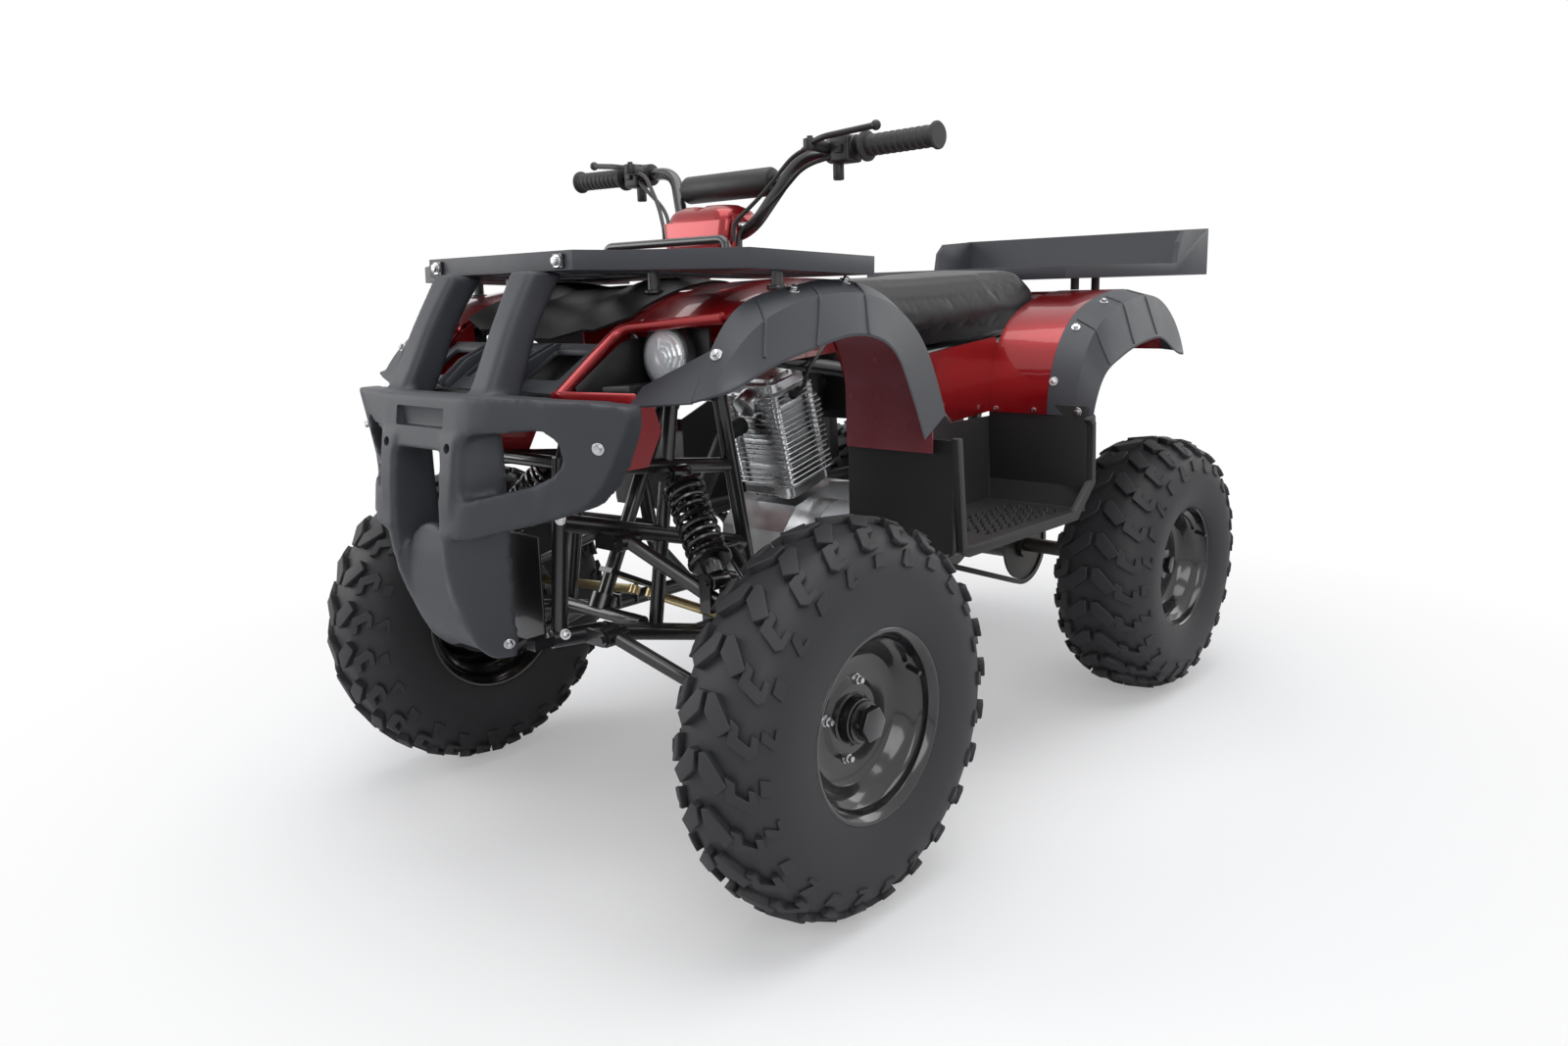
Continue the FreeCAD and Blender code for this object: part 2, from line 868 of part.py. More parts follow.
def knuckle(side):
    """Kingpin post with spindle, brake backing plate and steering arm; left is +1."""
    x = S.kingpin_half
    y = FRONT_AXLE
    pin = S.spindle_radius - 4
    eye_half = 9
    low = S.lower_ball_height + eye_half + S.seat_gap
    high = S.upper_ball_height - eye_half - S.seat_gap
    axle_z = S.front_tyre_radius
    post = rod((x, y, low), (x, y, high), 16)
    upper_pin = rod((x, y, high - 5), (x, y, high + 2 * eye_half + 4), pin)
    lower_pin = rod((x, y, low - 2 * eye_half - 4), (x, y, low + 5), pin)
    spindle = rod((x, y, axle_z), (S.front_half_track + 38, y, axle_z), S.spindle_radius)
    plate_at = S.front_half_track - 30
    neck = rod((x, y, axle_z), (plate_at, y, axle_z), 22)
    plate = rod((plate_at - 4, y, axle_z), (plate_at, y, axle_z), 80)
    eye_x, eye_y, eye_z = tie_rod_eye()
    arm = blend_of([
        [(x - 10, y, eye_z - 9), (x + 10, y, eye_z - 9), (x + 10, y, eye_z - 1), (x - 10, y, eye_z - 1)],
        [(eye_x - 9, eye_y, eye_z - 17), (eye_x + 9, eye_y, eye_z - 17),
         (eye_x + 9, eye_y, eye_z - 9), (eye_x - 9, eye_y, eye_z - 9)],
    ])
    boss = rod((eye_x, eye_y, eye_z - 18), (eye_x, eye_y, eye_z - 8), 11)
    shape = joined([post, upper_pin, lower_pin, spindle, neck, plate, arm, boss])
    return shape if side > 0 else mirrored(shape)


def add_knuckles():
    feature_of("knuckle_left", knuckle(1))
    feature_of("knuckle_right", knuckle(-1))


# Steering

def pitman_point(side):
    """The tie rod's pin at the end of the pitman arm."""
    lean = math.radians(float(S.stem_lean))
    back = Vector(0, math.cos(lean), -math.sin(lean))
    arm_at = point(*stem_point(S.pitman_level))
    return arm_at + back * float(S.pitman_arm) + Vector(side * float(S.pitman_half), 0, 0)


def add_steering_stem():
    """Leaning shaft with the pitman arm near its foot and the bar clamp on top."""
    along = stem_direction()
    foot = point(*stem_point(395))
    clamp = point(*stem_point(985))
    shaft = Part.makeCylinder(float(S.stem_radius), (clamp - foot).Length, foot, along)
    arm_at = point(*stem_point(S.pitman_level))
    lean = math.radians(float(S.stem_lean))
    back = Vector(0, math.cos(lean), -math.sin(lean))
    half = float(S.pitman_half)
    reach = float(S.pitman_arm)
    across = Vector(1, 0, 0)
    corners = [
        arm_at - across * 16 - back * 14,
        arm_at + across * 16 - back * 14,
        arm_at + across * (half + 10) + back * (reach - 6),
        arm_at + across * (half + 6) + back * (reach + 9),
        arm_at - across * (half + 6) + back * (reach + 9),
        arm_at - across * (half + 10) + back * (reach - 6),
    ]
    arm = Part.Face(Part.makePolygon(corners + corners[:1])).extrude(along * 8)
    pins = []
    for side in (-1, 1):
        end = pitman_point(side)
        pins.append(Part.makeCylinder(4, 24, end - along * 20, along))
    bar_bore = rod((-70, front(248), 989), (70, front(248), 989), S.bar_radius + S.running_fit)
    clamp_low = (-44, front(228), 966)
    clamp_high = (44, front(268), 1008)
    holder = box(clamp_low, clamp_high).cut(bar_bore)
    shaft = shaft.cut(bar_bore)
    feature_of("steering_stem", joined([shaft, arm, holder] + pins))


def add_tie_rods():
    """Rods from the pitman arm out to the knuckles, open at the knuckle's eye."""
    along = stem_direction()
    inner = pitman_point(1)
    outer = point(*tie_rod_eye())
    drop = along * 10
    start = inner - drop
    eye_inner = Part.makeCylinder(10, 14, start - along * 7, along)
    eye_outer = rod((outer.x, outer.y, outer.z - 7), (outer.x, outer.y, outer.z + 7), 11)
    shaft = rod(tuple(start), tuple(outer), S.tie_rod_radius)
    bore = Part.makeCylinder(4.05, 40, start - along * 20, along)
    left = joined([eye_inner, eye_outer, shaft]).cut(bore)
    feature_of("tie_rod_left", left)
    feature_of("tie_rod_right", mirrored(left))


def bar_route():
    """Centre line of the handlebar from the left end to the right end."""
    end = (S.bar_half, front(300), S.bar_height)
    knee = (190, front(240), S.bar_height - 18)
    clamp = (84, front(248), 989)
    left = [end, knee, clamp]
    return left + flip(left)[::-1]


def add_handlebar():
    bar = tube(bar_route(), S.bar_radius, 40)
    brace = cross_tube(dim(166), front(243), 1078, 7)
    feature_of("handlebar", joined([bar, brace]))


def add_handlebar_pad():
    """Round foam pad on the handlebar's brace."""
    body = new_body("handlebar_pad", (0, front(243), 1078))
    section = sketch_on(body, "XZ_Plane", "section")
    bore = 7 + S.seat_gap
    half = S.pad_half
    radius = S.pad_radius
    outline(section, [(half, bore), (half, radius - 5), (half - 5, radius), (5 - half, radius),
                      (-half, radius - 5), (-half, bore)])
    revolve(body, section, "foam")
    keep(body)


def along_grip(distance):
    """A point on the bar's straight end, measured inwards from its tip."""
    tip, knee = (point(*corner) for corner in bar_route()[:2])
    inward = (knee - tip).normalize()
    return tip + inward * float(distance), inward


def add_grips():
    tip, inward = along_grip(0)
    outside = tip - inward * 4
    bore_radius = float(S.bar_radius + S.seat_gap)
    length = float(S.grip_length)
    sleeve = Part.makeCylinder(float(S.grip_radius), length, outside, inward)
    flange_at = outside + inward * (length - 6)
    flange = Part.makeCylinder(float(S.grip_radius) + 7, 6, flange_at, inward)
    bore = Part.makeCylinder(bore_radius, length, tip - inward * 0.3, inward)
    feature_of("grips", both_sides(joined([sleeve, flange]).cut(bore)))


def add_brake_levers():
    """Clamp with its reservoir and a lever in front of the grip, on each side."""
    at, inward = along_grip(float(S.grip_length) + 22)
    clamp = Part.makeCylinder(19, 30, at - inward * 15, inward)
    bore = Part.makeCylinder(float(S.bar_radius + S.seat_gap), 60, at - inward * 30, inward)
    perch = rod((at.x, at.y - 12, at.z + 2), (at.x - 4, at.y - 44, at.z + 12), 9)
    pivot = (at.x - 4, at.y - 44, at.z + 12)
    route = [pivot, (at.x + 40, at.y - 56, at.z + 18), (at.x + 150, at.y - 26, at.z + 24)]
    blade = tube(route, 5, 60)
    ball = Part.makeSphere(8, point(*route[-1]))
    reservoir = rod((at.x - 8, at.y - 20, at.z + 8), (at.x - 8, at.y - 20, at.z + 38), 15)
    shape = joined([clamp, perch, blade, ball, reservoir]).cut(bore)
    feature_of("brake_levers", both_sides(shape))


def add_steering_cover():
    """Red shroud in front of the bar clamp, open towards the rider."""
    outer = blend_of([
        [(-74, front(168), 957), (74, front(168), 957), (84, front(222), 957), (-84, front(222), 957)],
        [(-80, front(172), 1004), (80, front(172), 1004), (88, front(228), 1004),
         (-88, front(228), 1004)],
        [(-52, front(196), 1036), (52, front(196), 1036), (64, front(228), 1036),
         (-64, front(228), 1036)],
    ])
    inner = blend_of([
        [(-68, front(174), 956), (68, front(174), 956), (78, front(230), 956), (-78, front(230), 956)],
        [(-74, front(178), 1003), (74, front(178), 1003), (82, front(236), 1003),
         (-82, front(236), 1003)],
        [(-47, front(200), 1031), (47, front(200), 1031), (58, front(236), 1031),
         (-58, front(236), 1031)],
    ])
    stay = box((-20, front(176), 988), (20, front(227.7), 998))
    feature_of("steering_cover", joined([outer.cut(inner), stay]))


# Engine and drive

CYLINDER_LEAN = 14


def add_engine_case():
    """Crankcase across the frame with a round cover each side and the drive sprocket."""
    base = S.rail_height + S.brace_tube + S.seat_gap
    body = new_body("engine_case")
    section = sketch_on(body, "YZ_Plane", "section", -98)
    outline(section, [
        (front(340), base), (front(600), base), (front(672), base + 22), (front(676), base + 60),
        (front(610), base + 110), (front(560), base + 160), (front(478), base + 172),
        (front(372), base + 140), (front(332), base + 96), (front(326), base + 30),
    ])
    pad(body, section, "case", 158)
    left = sketch_on(body, "YZ_Plane", "left", 60)
    circle(left, front(440), base + 76, 70)
    pad(body, left, "magneto_cover", 46)
    right = sketch_on(body, "YZ_Plane", "right", -98)
    circle(right, front(470), base + 78, 76)
    pad(body, right, "clutch_cover", 12, True)
    sprocket = sketch_on(body, "YZ_Plane", "sprocket", S.chain_line - 3)
    circle(sprocket, DRIVE[0], DRIVE[1], S.drive_sprocket - 7)
    pad(body, sprocket, "sprocket", 6)
    shaft = sketch_on(body, "YZ_Plane", "shaft", 59)
    circle(shaft, DRIVE[0], DRIVE[1], 12)
    pad(body, shaft, "output_shaft", S.chain_line - 46)
    keep(body)


DRIVE = (front(640), S.rail_height + 52)


def rounded_block(sketch, half_x, half_y, corner):
    """An octagon: a rectangle with its corners cut."""
    outline(sketch, [
        (half_x, corner - half_y), (half_x, half_y - corner),
        (half_x - corner, half_y), (corner - half_x, half_y),
        (-half_x, half_y - corner), (-half_x, corner - half_y),
        (corner - half_x, -half_y), (half_x - corner, -half_y),
    ])


def add_engine_cylinder():
    """Air-cooled cylinder and head: a core with a stack of thin fins, leaning forward."""
    body = new_body("engine_cylinder", (0, front(410), S.rail_height + 196))
    body.Placement.Rotation = Rotation(Vector(1, 0, 0), CYLINDER_LEAN)
    core = sketch_on(body, "XY_Plane", "core")
    rounded_block(core, dim(52), dim(48), dim(14))
    pad(body, core, "core", 196)
    fin = sketch_on(body, "XY_Plane", "fin", 14)
    rounded_block(fin, dim(76), dim(66), dim(16))
    plate = pad(body, fin, "fin", 3)
    row_of(body, plate, fin, "fins", 144, 13)
    head = sketch_on(body, "XY_Plane", "head", 172)
    rounded_block(head, dim(60), dim(52), dim(18))
    pad(body, head, "head", 34)
    keep(body)


def head_point(height, ahead):
    """A point of the leaning cylinder: up its axis, then ahead of it square to the axis."""
    lean = math.radians(CYLINDER_LEAN)
    base = point(0, front(410), S.rail_height + 196)
    up = Vector(0, -math.sin(lean), math.cos(lean))
    forward = Vector(0, -math.cos(lean), -math.sin(lean))
    return base + up * height + forward * ahead


def add_carburettor():
    """Carburettor on its inlet pipe behind the head, with the air box behind it."""
    inlet = head_point(140, -66.3)
    flange = head_point(140, -110)
    box_face = head_point(140, -150)
    throat = rod(tuple(inlet), tuple(box_face), 21)
    bowl = rod((0, flange.y, flange.z - 44), (0, flange.y, flange.z + 36), 26)
    airbox = box((-66, box_face.y - 6, box_face.z - 66), (66, box_face.y + 96, box_face.z + 16))
    feature_of("carburettor", joined([throat, bowl, airbox]))


def add_exhaust():
    """Header from the front of the head to a silencer on the right."""
    port = head_point(130, 66.3)
    bend = head_point(130, 112)
    header = [
        (-18, port.y, port.z), (-18, bend.y, bend.z), (-70, front(250), 520),
        (-168, front(320), 470), (-168, rear(-280), 480), (-196, rear(-240), 500),
    ]
    pipe = tube(header, 16, 50)
    can = rod((-196, rear(-262), 500), (-196, rear(92), 560), 46)
    outlet = rod((-196, rear(80), 558), (-196, rear(120), 565), 16)
    hanger = box((-186, rear(-106), 556), (-S.rail_half - S.brace_tube - S.seat_gap, rear(-94), 570))
    feature_of("exhaust", joined([pipe, can, outlet, hanger]))


def add_chain():
    """The drive chain as one closed loop round both sprockets."""
    start = point(0, *DRIVE)
    end = point(0, REAR_AXLE, S.rear_tyre_radius)
    shape = belt(start, end, float(S.drive_sprocket) + 6, float(S.sprocket_radius) + 6)
    hollow = belt(start, end, float(S.drive_sprocket) - 6, float(S.sprocket_radius) - 6)
    feature_of("chain", shape.cut(hollow))


def belt(start, end, small, large):
    """The solid that a loop round two wheels encloses, as wide as the chain."""
    run = end - start
    heading = math.atan2(run.z, run.y)
    spread = math.asin((large - small) / run.Length)
    low_x = float(S.chain_line) - float(S.chain_width) / 2

    def on_wheel(centre, radius, angle):
        return Vector(low_x, centre.y + radius * math.cos(angle), centre.z + radius * math.sin(angle))

    top = heading + math.pi / 2 + spread
    bottom = heading - math.pi / 2 - spread
    edges = [
        Part.LineSegment(on_wheel(start, small, top), on_wheel(end, large, top)).toShape(),
        Part.Arc(on_wheel(end, large, top), on_wheel(end, large, heading),
                 on_wheel(end, large, bottom)).toShape(),
        Part.LineSegment(on_wheel(end, large, bottom), on_wheel(start, small, bottom)).toShape(),
        Part.Arc(on_wheel(start, small, bottom), on_wheel(start, small, heading + math.pi),
                 on_wheel(start, small, top)).toShape(),
    ]
    return Part.Face(Part.Wire(edges)).extrude(Vector(float(S.chain_width), 0, 0))


def add_swingarm():
    """Swingarm with its pivot tube, axle carrier and tow plate."""
    pivot_y = rear(-S.swingarm_pivot)
    pivot_z = S.rail_height
    axle_z = S.rear_tyre_radius
    end = S.rail_half - PIVOT_PLATE - S.seat_gap
    pivot = rod((-end, pivot_y, pivot_z), (end, pivot_y, pivot_z), 17)
    carrier = rod((-86, REAR_AXLE, axle_z), (54, REAR_AXLE, axle_z), 38)
    legs = []
    for x in (-74, 44):
        legs.append(rod((x, pivot_y, pivot_z), (x, REAR_AXLE, axle_z), 14.5))
    foot_y, foot_z = REAR_SHOCK_FOOT
    cross = rod((-76, rear(foot_y), foot_z - 28), (46, rear(foot_y), foot_z - 28), 11)
    pin = rod((-26, rear(foot_y), foot_z), (26, rear(foot_y), foot_z), PIN_RADIUS)
    ears = []
    for side in (-1, 1):
        low, high = sorted((side * (EYE_HALF + 0.3), side * (EYE_HALF + 4.3)))
        profile = [(rear(foot_y) - 12, foot_z - 28), (rear(foot_y) + 12, foot_z - 28),
                   (rear(foot_y) + 9, foot_z + 10), (rear(foot_y) - 9, foot_z + 10)]
        ears.append(side_plate(profile, low, high))
    tow = flat_plate([(-34, rear(0)), (34, rear(0)), (30, rear(96)), (-30, rear(96))],
                     axle_z - 38, axle_z - 30)
    shape = joined([pivot, carrier, cross, pin, tow] + legs + ears)
    tow_hole = rod((0, rear(72), axle_z - 50), (0, rear(72), axle_z - 10), 10)
    bores = [
        cross_tube(S.rail_half, pivot_y, pivot_z, 9 + S.seat_gap),
        cross_tube(S.rail_half, REAR_AXLE, axle_z, S.axle_radius + S.running_fit),
        tow_hole,
    ]
    for bore in bores:
        shape = shape.cut(bore)
    feature_of("swingarm", shape)


def add_rear_shock():
    top = (0, rear(REAR_SHOCK_TOP[0]), REAR_SHOCK_TOP[1])
    foot = (0, rear(REAR_SHOCK_FOOT[0]), REAR_SHOCK_FOOT[1])
    cross = Vector(1, 0, 0)
    shape = shock(top, foot, cross)
    crown = rod((-EYE_HALF, top[1], top[2]), (EYE_HALF, top[1], top[2]), 20)
    shape = joined([shape, crown])
    shape = shape.cut(cross_tube(40, top[1], top[2], S.brace_tube + 1 + S.seat_gap))
    shape = shape.cut(cross_tube(40, foot[1], foot[2], PIN_RADIUS + S.seat_gap))
    feature_of("rear_shock", shape)


# Bodywork

FRONT_CREST = ((-186, 757), (-146, 822), (-98, 872), (0, 899), (94, 909), (170, 902),
               (240, 878), (300, 830), (338, 764), (362, 694))
FRONT_SHOULDER = ((-180, 766), (-138, 817), (-88, 852), (0, 881), (94, 890), (165, 882),
                  (228, 858), (283, 812), (318, 755), (346, 690))
FRONT_LIP = ((-172, 773), (-140, 783), (-90, 800), (0, 820), (70, 832), (130, 828),
             (180, 804), (212, 758), (236, 710), (258, 662))
REAR_CREST = ((-378, 642), (-370, 705), (-340, 772), (-285, 826), (-205, 858), (-105, 875),
              (-20, 870), (65, 832), (135, 742))
REAR_SHOULDER = ((-372, 642), (-358, 700), (-326, 765), (-275, 812), (-205, 842), (-105, 861),
                 (-25, 857), (52, 820), (122, 738))
REAR_LIP = ((-366, 642), (-350, 682), (-318, 722), (-265, 746), (-205, 764), (-125, 777),
            (-75, 778), (5, 744), (40, 738))


def add_front_body():
    """Red fender shells with the headlamp pods, joined under the hood."""
    crest = FRONT_CREST[2:]
    inner = [(y, z + 2) for y, z in crest]
    shell = arch_shell([
        (S.fender_inner, front_curve(inner)),
        (S.fender_crest - S.seat_gap, front_curve(crest)),
    ], S.shell_wall)
    left = joined([shell] + lamp_pod())
    bridge = box((-S.fender_inner - 1, front(-150), 800), (S.fender_inner + 1, front(-128), 812))
    feature_of("front_body", joined([left, mirrored(left), bridge]))


def lamp_pod():
    """Open bucket round the left headlamp: brow, inner wall, floor and back wall."""
    inner = S.fender_inner - 3
    outer = dim(330)
    brow = arch_shell([
        (inner, front_curve([(-264, 765), (-202, 812), (-140, 853), (-96, 864)])),
        (outer, front_curve([(-172, 798), (-152, 826), (-130, 850), (-96, 870)])),
    ], S.shell_wall)
    wall = side_plate([(front(-262), 763), (front(-141), 850), (front(-96), 861),
                       (front(LAMP_BACK), 752)], inner, inner + 4)
    floor = flat_plate([(inner, front(-262)), (256, front(-204)), (262, front(-160)),
                        (outer, front(-150)), (outer, front(LAMP_BACK)), (inner, front(LAMP_BACK))],
                       752, 763)
    back = box((inner, front(LAMP_BACK), 752), (outer, front(LAMP_BACK + 5), 866))
    return [brow, wall, floor, back]


LAMP_BACK = -100


def add_headlights():
    """Round lamps seated on the back walls of the pods."""
    back = front(LAMP_BACK) - S.seat_gap
    body = rod((254, back, 808), (254, back - 18, 808), 32)
    bezel = rod((254, back - 16, 808), (254, back - 34, 808), 36)
    feature_of("headlights", both_sides(joined([body, bezel])))


def add_hood():
    """Black hood: a low middle between two raised ridges."""
    ridge = front_curve([(-165, 862), (-118, 902), (-60, 914), (30, 912), (100, 902.4)])
    middle = front_curve([(-190, 862), (-120, 886), (-32, 902), (40, 912), (100, 911)])
    edge = S.fender_inner - 6
    shape = arch_shell([
        (-edge, ridge), (-130, ridge), (-70, middle), (70, middle), (130, ridge), (edge, ridge),
    ], S.shell_wall)
    feature_of("hood", shape)


def add_grille():
    """Grey nose panel with two slots behind horizontal bars."""
    low_z = 772
    high_z = 858
    front_y = front(-262)
    back_y = front(-196)
    wall = 8
    panel = blend_of([
        [(-150, front_y, low_z), (150, front_y, low_z), (150, front_y + wall, low_z),
         (-150, front_y + wall, low_z)],
        [(-120, back_y, high_z), (120, back_y, high_z), (120, back_y + wall, high_z),
         (-120, back_y + wall, high_z)],
    ])
    slots = [box((12, front(-300), low_z + 18), (96, front(-150), high_z - 16))]
    slots.append(mirrored(slots[0]))
    for slot in slots:
        panel = panel.cut(slot)
    bars = []
    for level in (18, 34):
        share = (level + 8) / (high_z - low_z)
        y = front_y + (back_y - front_y) * share + 2
        bars.append(box((-100, y, low_z + level + 8), (100, y + 5, low_z + level + 12)))
    stay = box((-12, front(-250), low_z - 0), (12, front(-150.3), low_z + 8))
    brace = box((-12, front(-172), low_z), (12, front(-150.3), 811))
    feature_of("grille", joined([panel, stay, brace] + bars))


def add_front_flares():
    """Dark flares that carry the front fenders out over the tyres."""
    shape = arch_shell([
        (S.fender_crest, front_curve(FRONT_CREST)),
        (S.fender_crest + 34, front_curve(FRONT_SHOULDER)),
        (S.flare_outer - 8, front_curve(FRONT_LIP)),
    ], S.shell_wall)
    chin = arch_shell([
        (264, front_curve([(-194, 747), (-180, 760), (-166, 772)])),
        (S.fender_crest + 1, front_curve([(-187, 756), (-167, 790), (-145, 822)])),
    ], S.shell_wall)
    feature_of("front_flares", both_sides(joined([shape, chin])))


def add_splash_guards():
    """Red inner guards between the front wheels and the frame."""
    profile = [(front(-236), 742), (front(-60), 752), (front(-40), 690), (front(-70), 638),
               (front(-150), 638), (front(-190), 690)]
    left = side_plate(profile, 152, 156)
    foot = box((118.8, front(-150), 638), (153, front(-120), 648))
    feature_of("splash_guards", both_sides(joined([left, foot])))


def add_tank_cover():
    """Cover over the tank between the hood and the seat, with a hole for the stem."""
    sections = []
    for y, half, top in ((96, 196, 897.4), (200, 180, 908), (330, 132, 908), (474, 84, 893)):
        sections.append((front(y), dim(half), dim(top)))
    outer = blend_of([arch_section(y, half, top, 778) for y, half, top in sections])
    wall = S.shell_wall
    hollow = []
    for index, (y, half, top) in enumerate(sections):
        shift = (-1, 0, 0, 1)[index]
        hollow.append(arch_section(y + shift, half - wall, top - wall, 776))
    shape = outer.cut(blend_of(hollow))
    well = Part.makeCylinder(34, 260, point(*stem_point(760)), stem_direction())
    feature_of("tank_cover", shape.cut(well))


def arch_section(y, half, top, low):
    """An upside-down U with cut shoulders, across the bike."""
    return [(-half, y, low), (-half, y, top - 40), (-half + 34, y, top), (half - 34, y, top),
            (half, y, top - 40), (half, y, low)]


def add_rear_body():
    """Red rear fenders with the tail deck between them and a panel under each seat side."""
    shell = arch_shell([
        (S.fender_inner + 8, rear_curve(REAR_CREST)),
        (350 - S.seat_gap, rear_curve(REAR_CREST)),
    ], S.shell_wall)
    side = side_plate([(front(566), 768), (front(640), 776), (front(812), 790), (rear(-340), 764),
                       (rear(-367), 700), (rear(-372), 642), (front(660), 634), (front(596), 690)],
                      S.fender_inner + 8, S.fender_inner + 12)
    left = joined([shell, side])
    deck_curve = [(y, z - 2) for y, z in REAR_CREST if y > -115]
    deck = arch_shell([
        (-S.fender_inner - 9, rear_curve(deck_curve)),
        (S.fender_inner + 9, rear_curve(deck_curve)),
    ], S.shell_wall)
    feature_of("rear_body", joined([left, mirrored(left), deck]))


def add_rear_flares():
    shape = arch_shell([
        (350, rear_curve(REAR_CREST)),
        (405, rear_curve(REAR_SHOULDER)),
        (S.flare_outer - 4, rear_curve(REAR_LIP)),
    ], S.shell_wall)
    feature_of("rear_flares", both_sides(shape))


def add_footwells():
    """Tray on each side: front wall, floor and rear wall, with a rim along the edge."""
    inner = S.footwell_inner
    outer = S.footwell_outer
    floor = S.footwell_floor
    wall = S.shell_wall
    tray_profile = [
        (front(342), 648), (front(342), floor), (rear(-366), floor), (rear(-366), 636),
        (rear(-366) - wall, 636), (rear(-366) - wall, floor + wall), (front(342) + wall, floor + wall),
        (front(342) + wall, 648),
    ]
    tray = side_plate(tray_profile, inner, outer)
    inner_wall = side_plate([(front(342), floor), (front(342), 648), (front(470), 700),
                             (front(590), 690), (front(655), 632), (rear(-366), 632),
                             (rear(-366), floor)],
                            inner - wall, inner)
    rim_outer = [(front(336), 652), (front(352), 462), (front(372), floor - 8), (rear(-420), floor - 8),
                 (rear(-352), 512), (rear(-356), 630), (rear(-372), 644)]
    rim_inner = [(rear(-380), 636), (rear(-368), 624), (rear(-366), 518), (rear(-428), floor + 10),
                 (front(382), floor + 10), (front(366), 472), (front(350), 652)]
    rim = side_plate(rim_outer + rim_inner, outer, outer + 14)
    shape = joined([tray, inner_wall, rim])
    feature_of("footwells", both_sides(shape))


def add_seat():
    """Seat cushion from the tank cover to the tail, resting on the seat rails."""
    sections = []
    for y, half, top in ((484, 74, 898), (560, 100, 906), (700, 142, 908), (850, 182, 914),
                         (960, 200, 920), (1006, 192, 906)):
        place = front(y)
        low = seat_rail_height(place) + S.main_tube + 0.5
        sections.append(cushion_section(place, dim(half), low, dim(top)))
    feature_of("seat", blend_of(sections))


def cushion_section(y, half, low, top):
    crown = 34
    return [(-half + 10, y, low), (-half, y, low + 30), (-half, y, top - crown), (-half + 26, y, top - 6),
            (0, y, top), (half - 26, y, top - 6), (half, y, top - crown), (half, y, low + 30),
            (half - 10, y, low)]


# Bumper and racks

def add_bumper():
    """Moulded front guard: cross beam, wings, two uprights, two struts and a tongue."""
    beam = flat_plate([
        (-303, front(-330)), (-150, front(-378)), (150, front(-378)), (303, front(-330)),
        (292, front(-306)), (142, front(-342)), (-142, front(-342)), (-292, front(-306)),
    ], 684, 758)
    wing = blend_of([
        [(300, front(-331), 757), (368, front(-279), 757), (360, front(-262), 757),
         (290, front(-306), 757)],
        [(262, front(-292), 612), (294, front(-266), 612), (288, front(-250), 612),
         (250, front(-272), 612)],
    ])
    arm = blend_of([
        [(96, front(-380), 562), (96, front(-380), 622), (96, front(-340), 622), (96, front(-340), 562)],
        [(276, front(-290), 612), (276, front(-290), 664), (276, front(-262), 664),
         (276, front(-262), 612)],
    ])
    strut = side_plate([
        (front(-371), 700), (front(-384), 640), (front(-S.front_overhang), 575), (front(-383), 508),
        (front(-356), 442), (front(-306), 378), (front(-276), 378), (front(-262), 398),
        (front(-296), 440), (front(-322), 500), (front(-332), 575), (front(-334), 640),
        (front(-332), 700),
    ], 54, 106)
    fore = rack_underside(-262) - 0.3
    aft = rack_underside(-212) - 0.3
    upright = blend_of([
        [(58, front(-384), 740), (114, front(-384), 740), (112, front(-330), 740),
         (58, front(-330), 740)],
        [(84, front(-262), fore), (140, front(-262), fore), (138, front(-212), aft),
         (84, front(-212), aft)],
    ])
    left = [wing, arm, strut, upright]
    tongue = side_plate([
        (front(-362), 470), (front(-352), 560), (front(-334), 596), (front(-318), 596),
        (front(-330), 540), (front(-322), 480), (front(-286), 410), (front(-306), 392),
    ], -55, 55)
    shape = joined([beam, tongue] + left + [mirrored(item) for item in left])
    holes = [rod((80, front(-420), 696), (80, front(-300), 696), 7)]
    bolt = rod((40, front(-292), 412), (130, front(-292), 412), 6)
    for tool in holes + [mirrored(holes[0]), bolt, mirrored(bolt)]:
        shape = shape.cut(tool)
    feature_of("bumper", shape)


RACK_SLOPE = 2.55
RACK_LEVEL = 949


def rack_underside(y):
    """Height of the front rack's underside at a distance behind the front axle."""
    tilt = math.radians(RACK_SLOPE)
    return RACK_LEVEL - y * math.tan(tilt) - float(S.rack_thickness) / math.cos(tilt)


RACK_SLOTS = ((8, 104, -205, -165), (8, 104, -130, -90), (8, 104, -55, -15), (160, 240, -120, -8),
              (160, 240, 8, 120), (280, 360, -30, 140))


def add_front_rack():
    """Moulded front rack on four posts, with slots and a bent hoop near its rear edge."""
    half = [(150, -247), (256, -202), (400, -90), (400, 181), (158, 181), (128, 108)]
    corners = [(x, y) for x, y in half] + [(-x, y) for x, y in half[::-1]]
    plate = flat_plate([(x, dim(y)) for x, y in corners], 0 - float(S.rack_thickness), 0)
    slots = []
    for x_low, x_high, y_low, y_high in RACK_SLOTS:
        slot = box((x_low, y_low, -100), (x_high, y_high, 100))
        slots += [slot, mirrored(slot)]
    for slot in slots:
        plate = plate.cut(slot)
    hoop = tube([(145, 84, -10), (145, 84, 30), (-145, 84, 30), (-145, 84, -10)], 7, 18)
    deck = joined([plate, hoop])
    deck.Placement = Placement(point(0, front(0), RACK_LEVEL), Rotation(Vector(1, 0, 0), -RACK_SLOPE))
    posts = []
    for x, y in ((250, -60), (368, 0)):
        foot = curve_height(FRONT_CREST, y) + 2.6
        posts.append(rod((x, front(y), foot), (x, front(y), rack_underside(y) + 10), S.rack_post))
    posts += [mirrored(post) for post in posts]
    feature_of("front_rack", joined([deck] + posts))


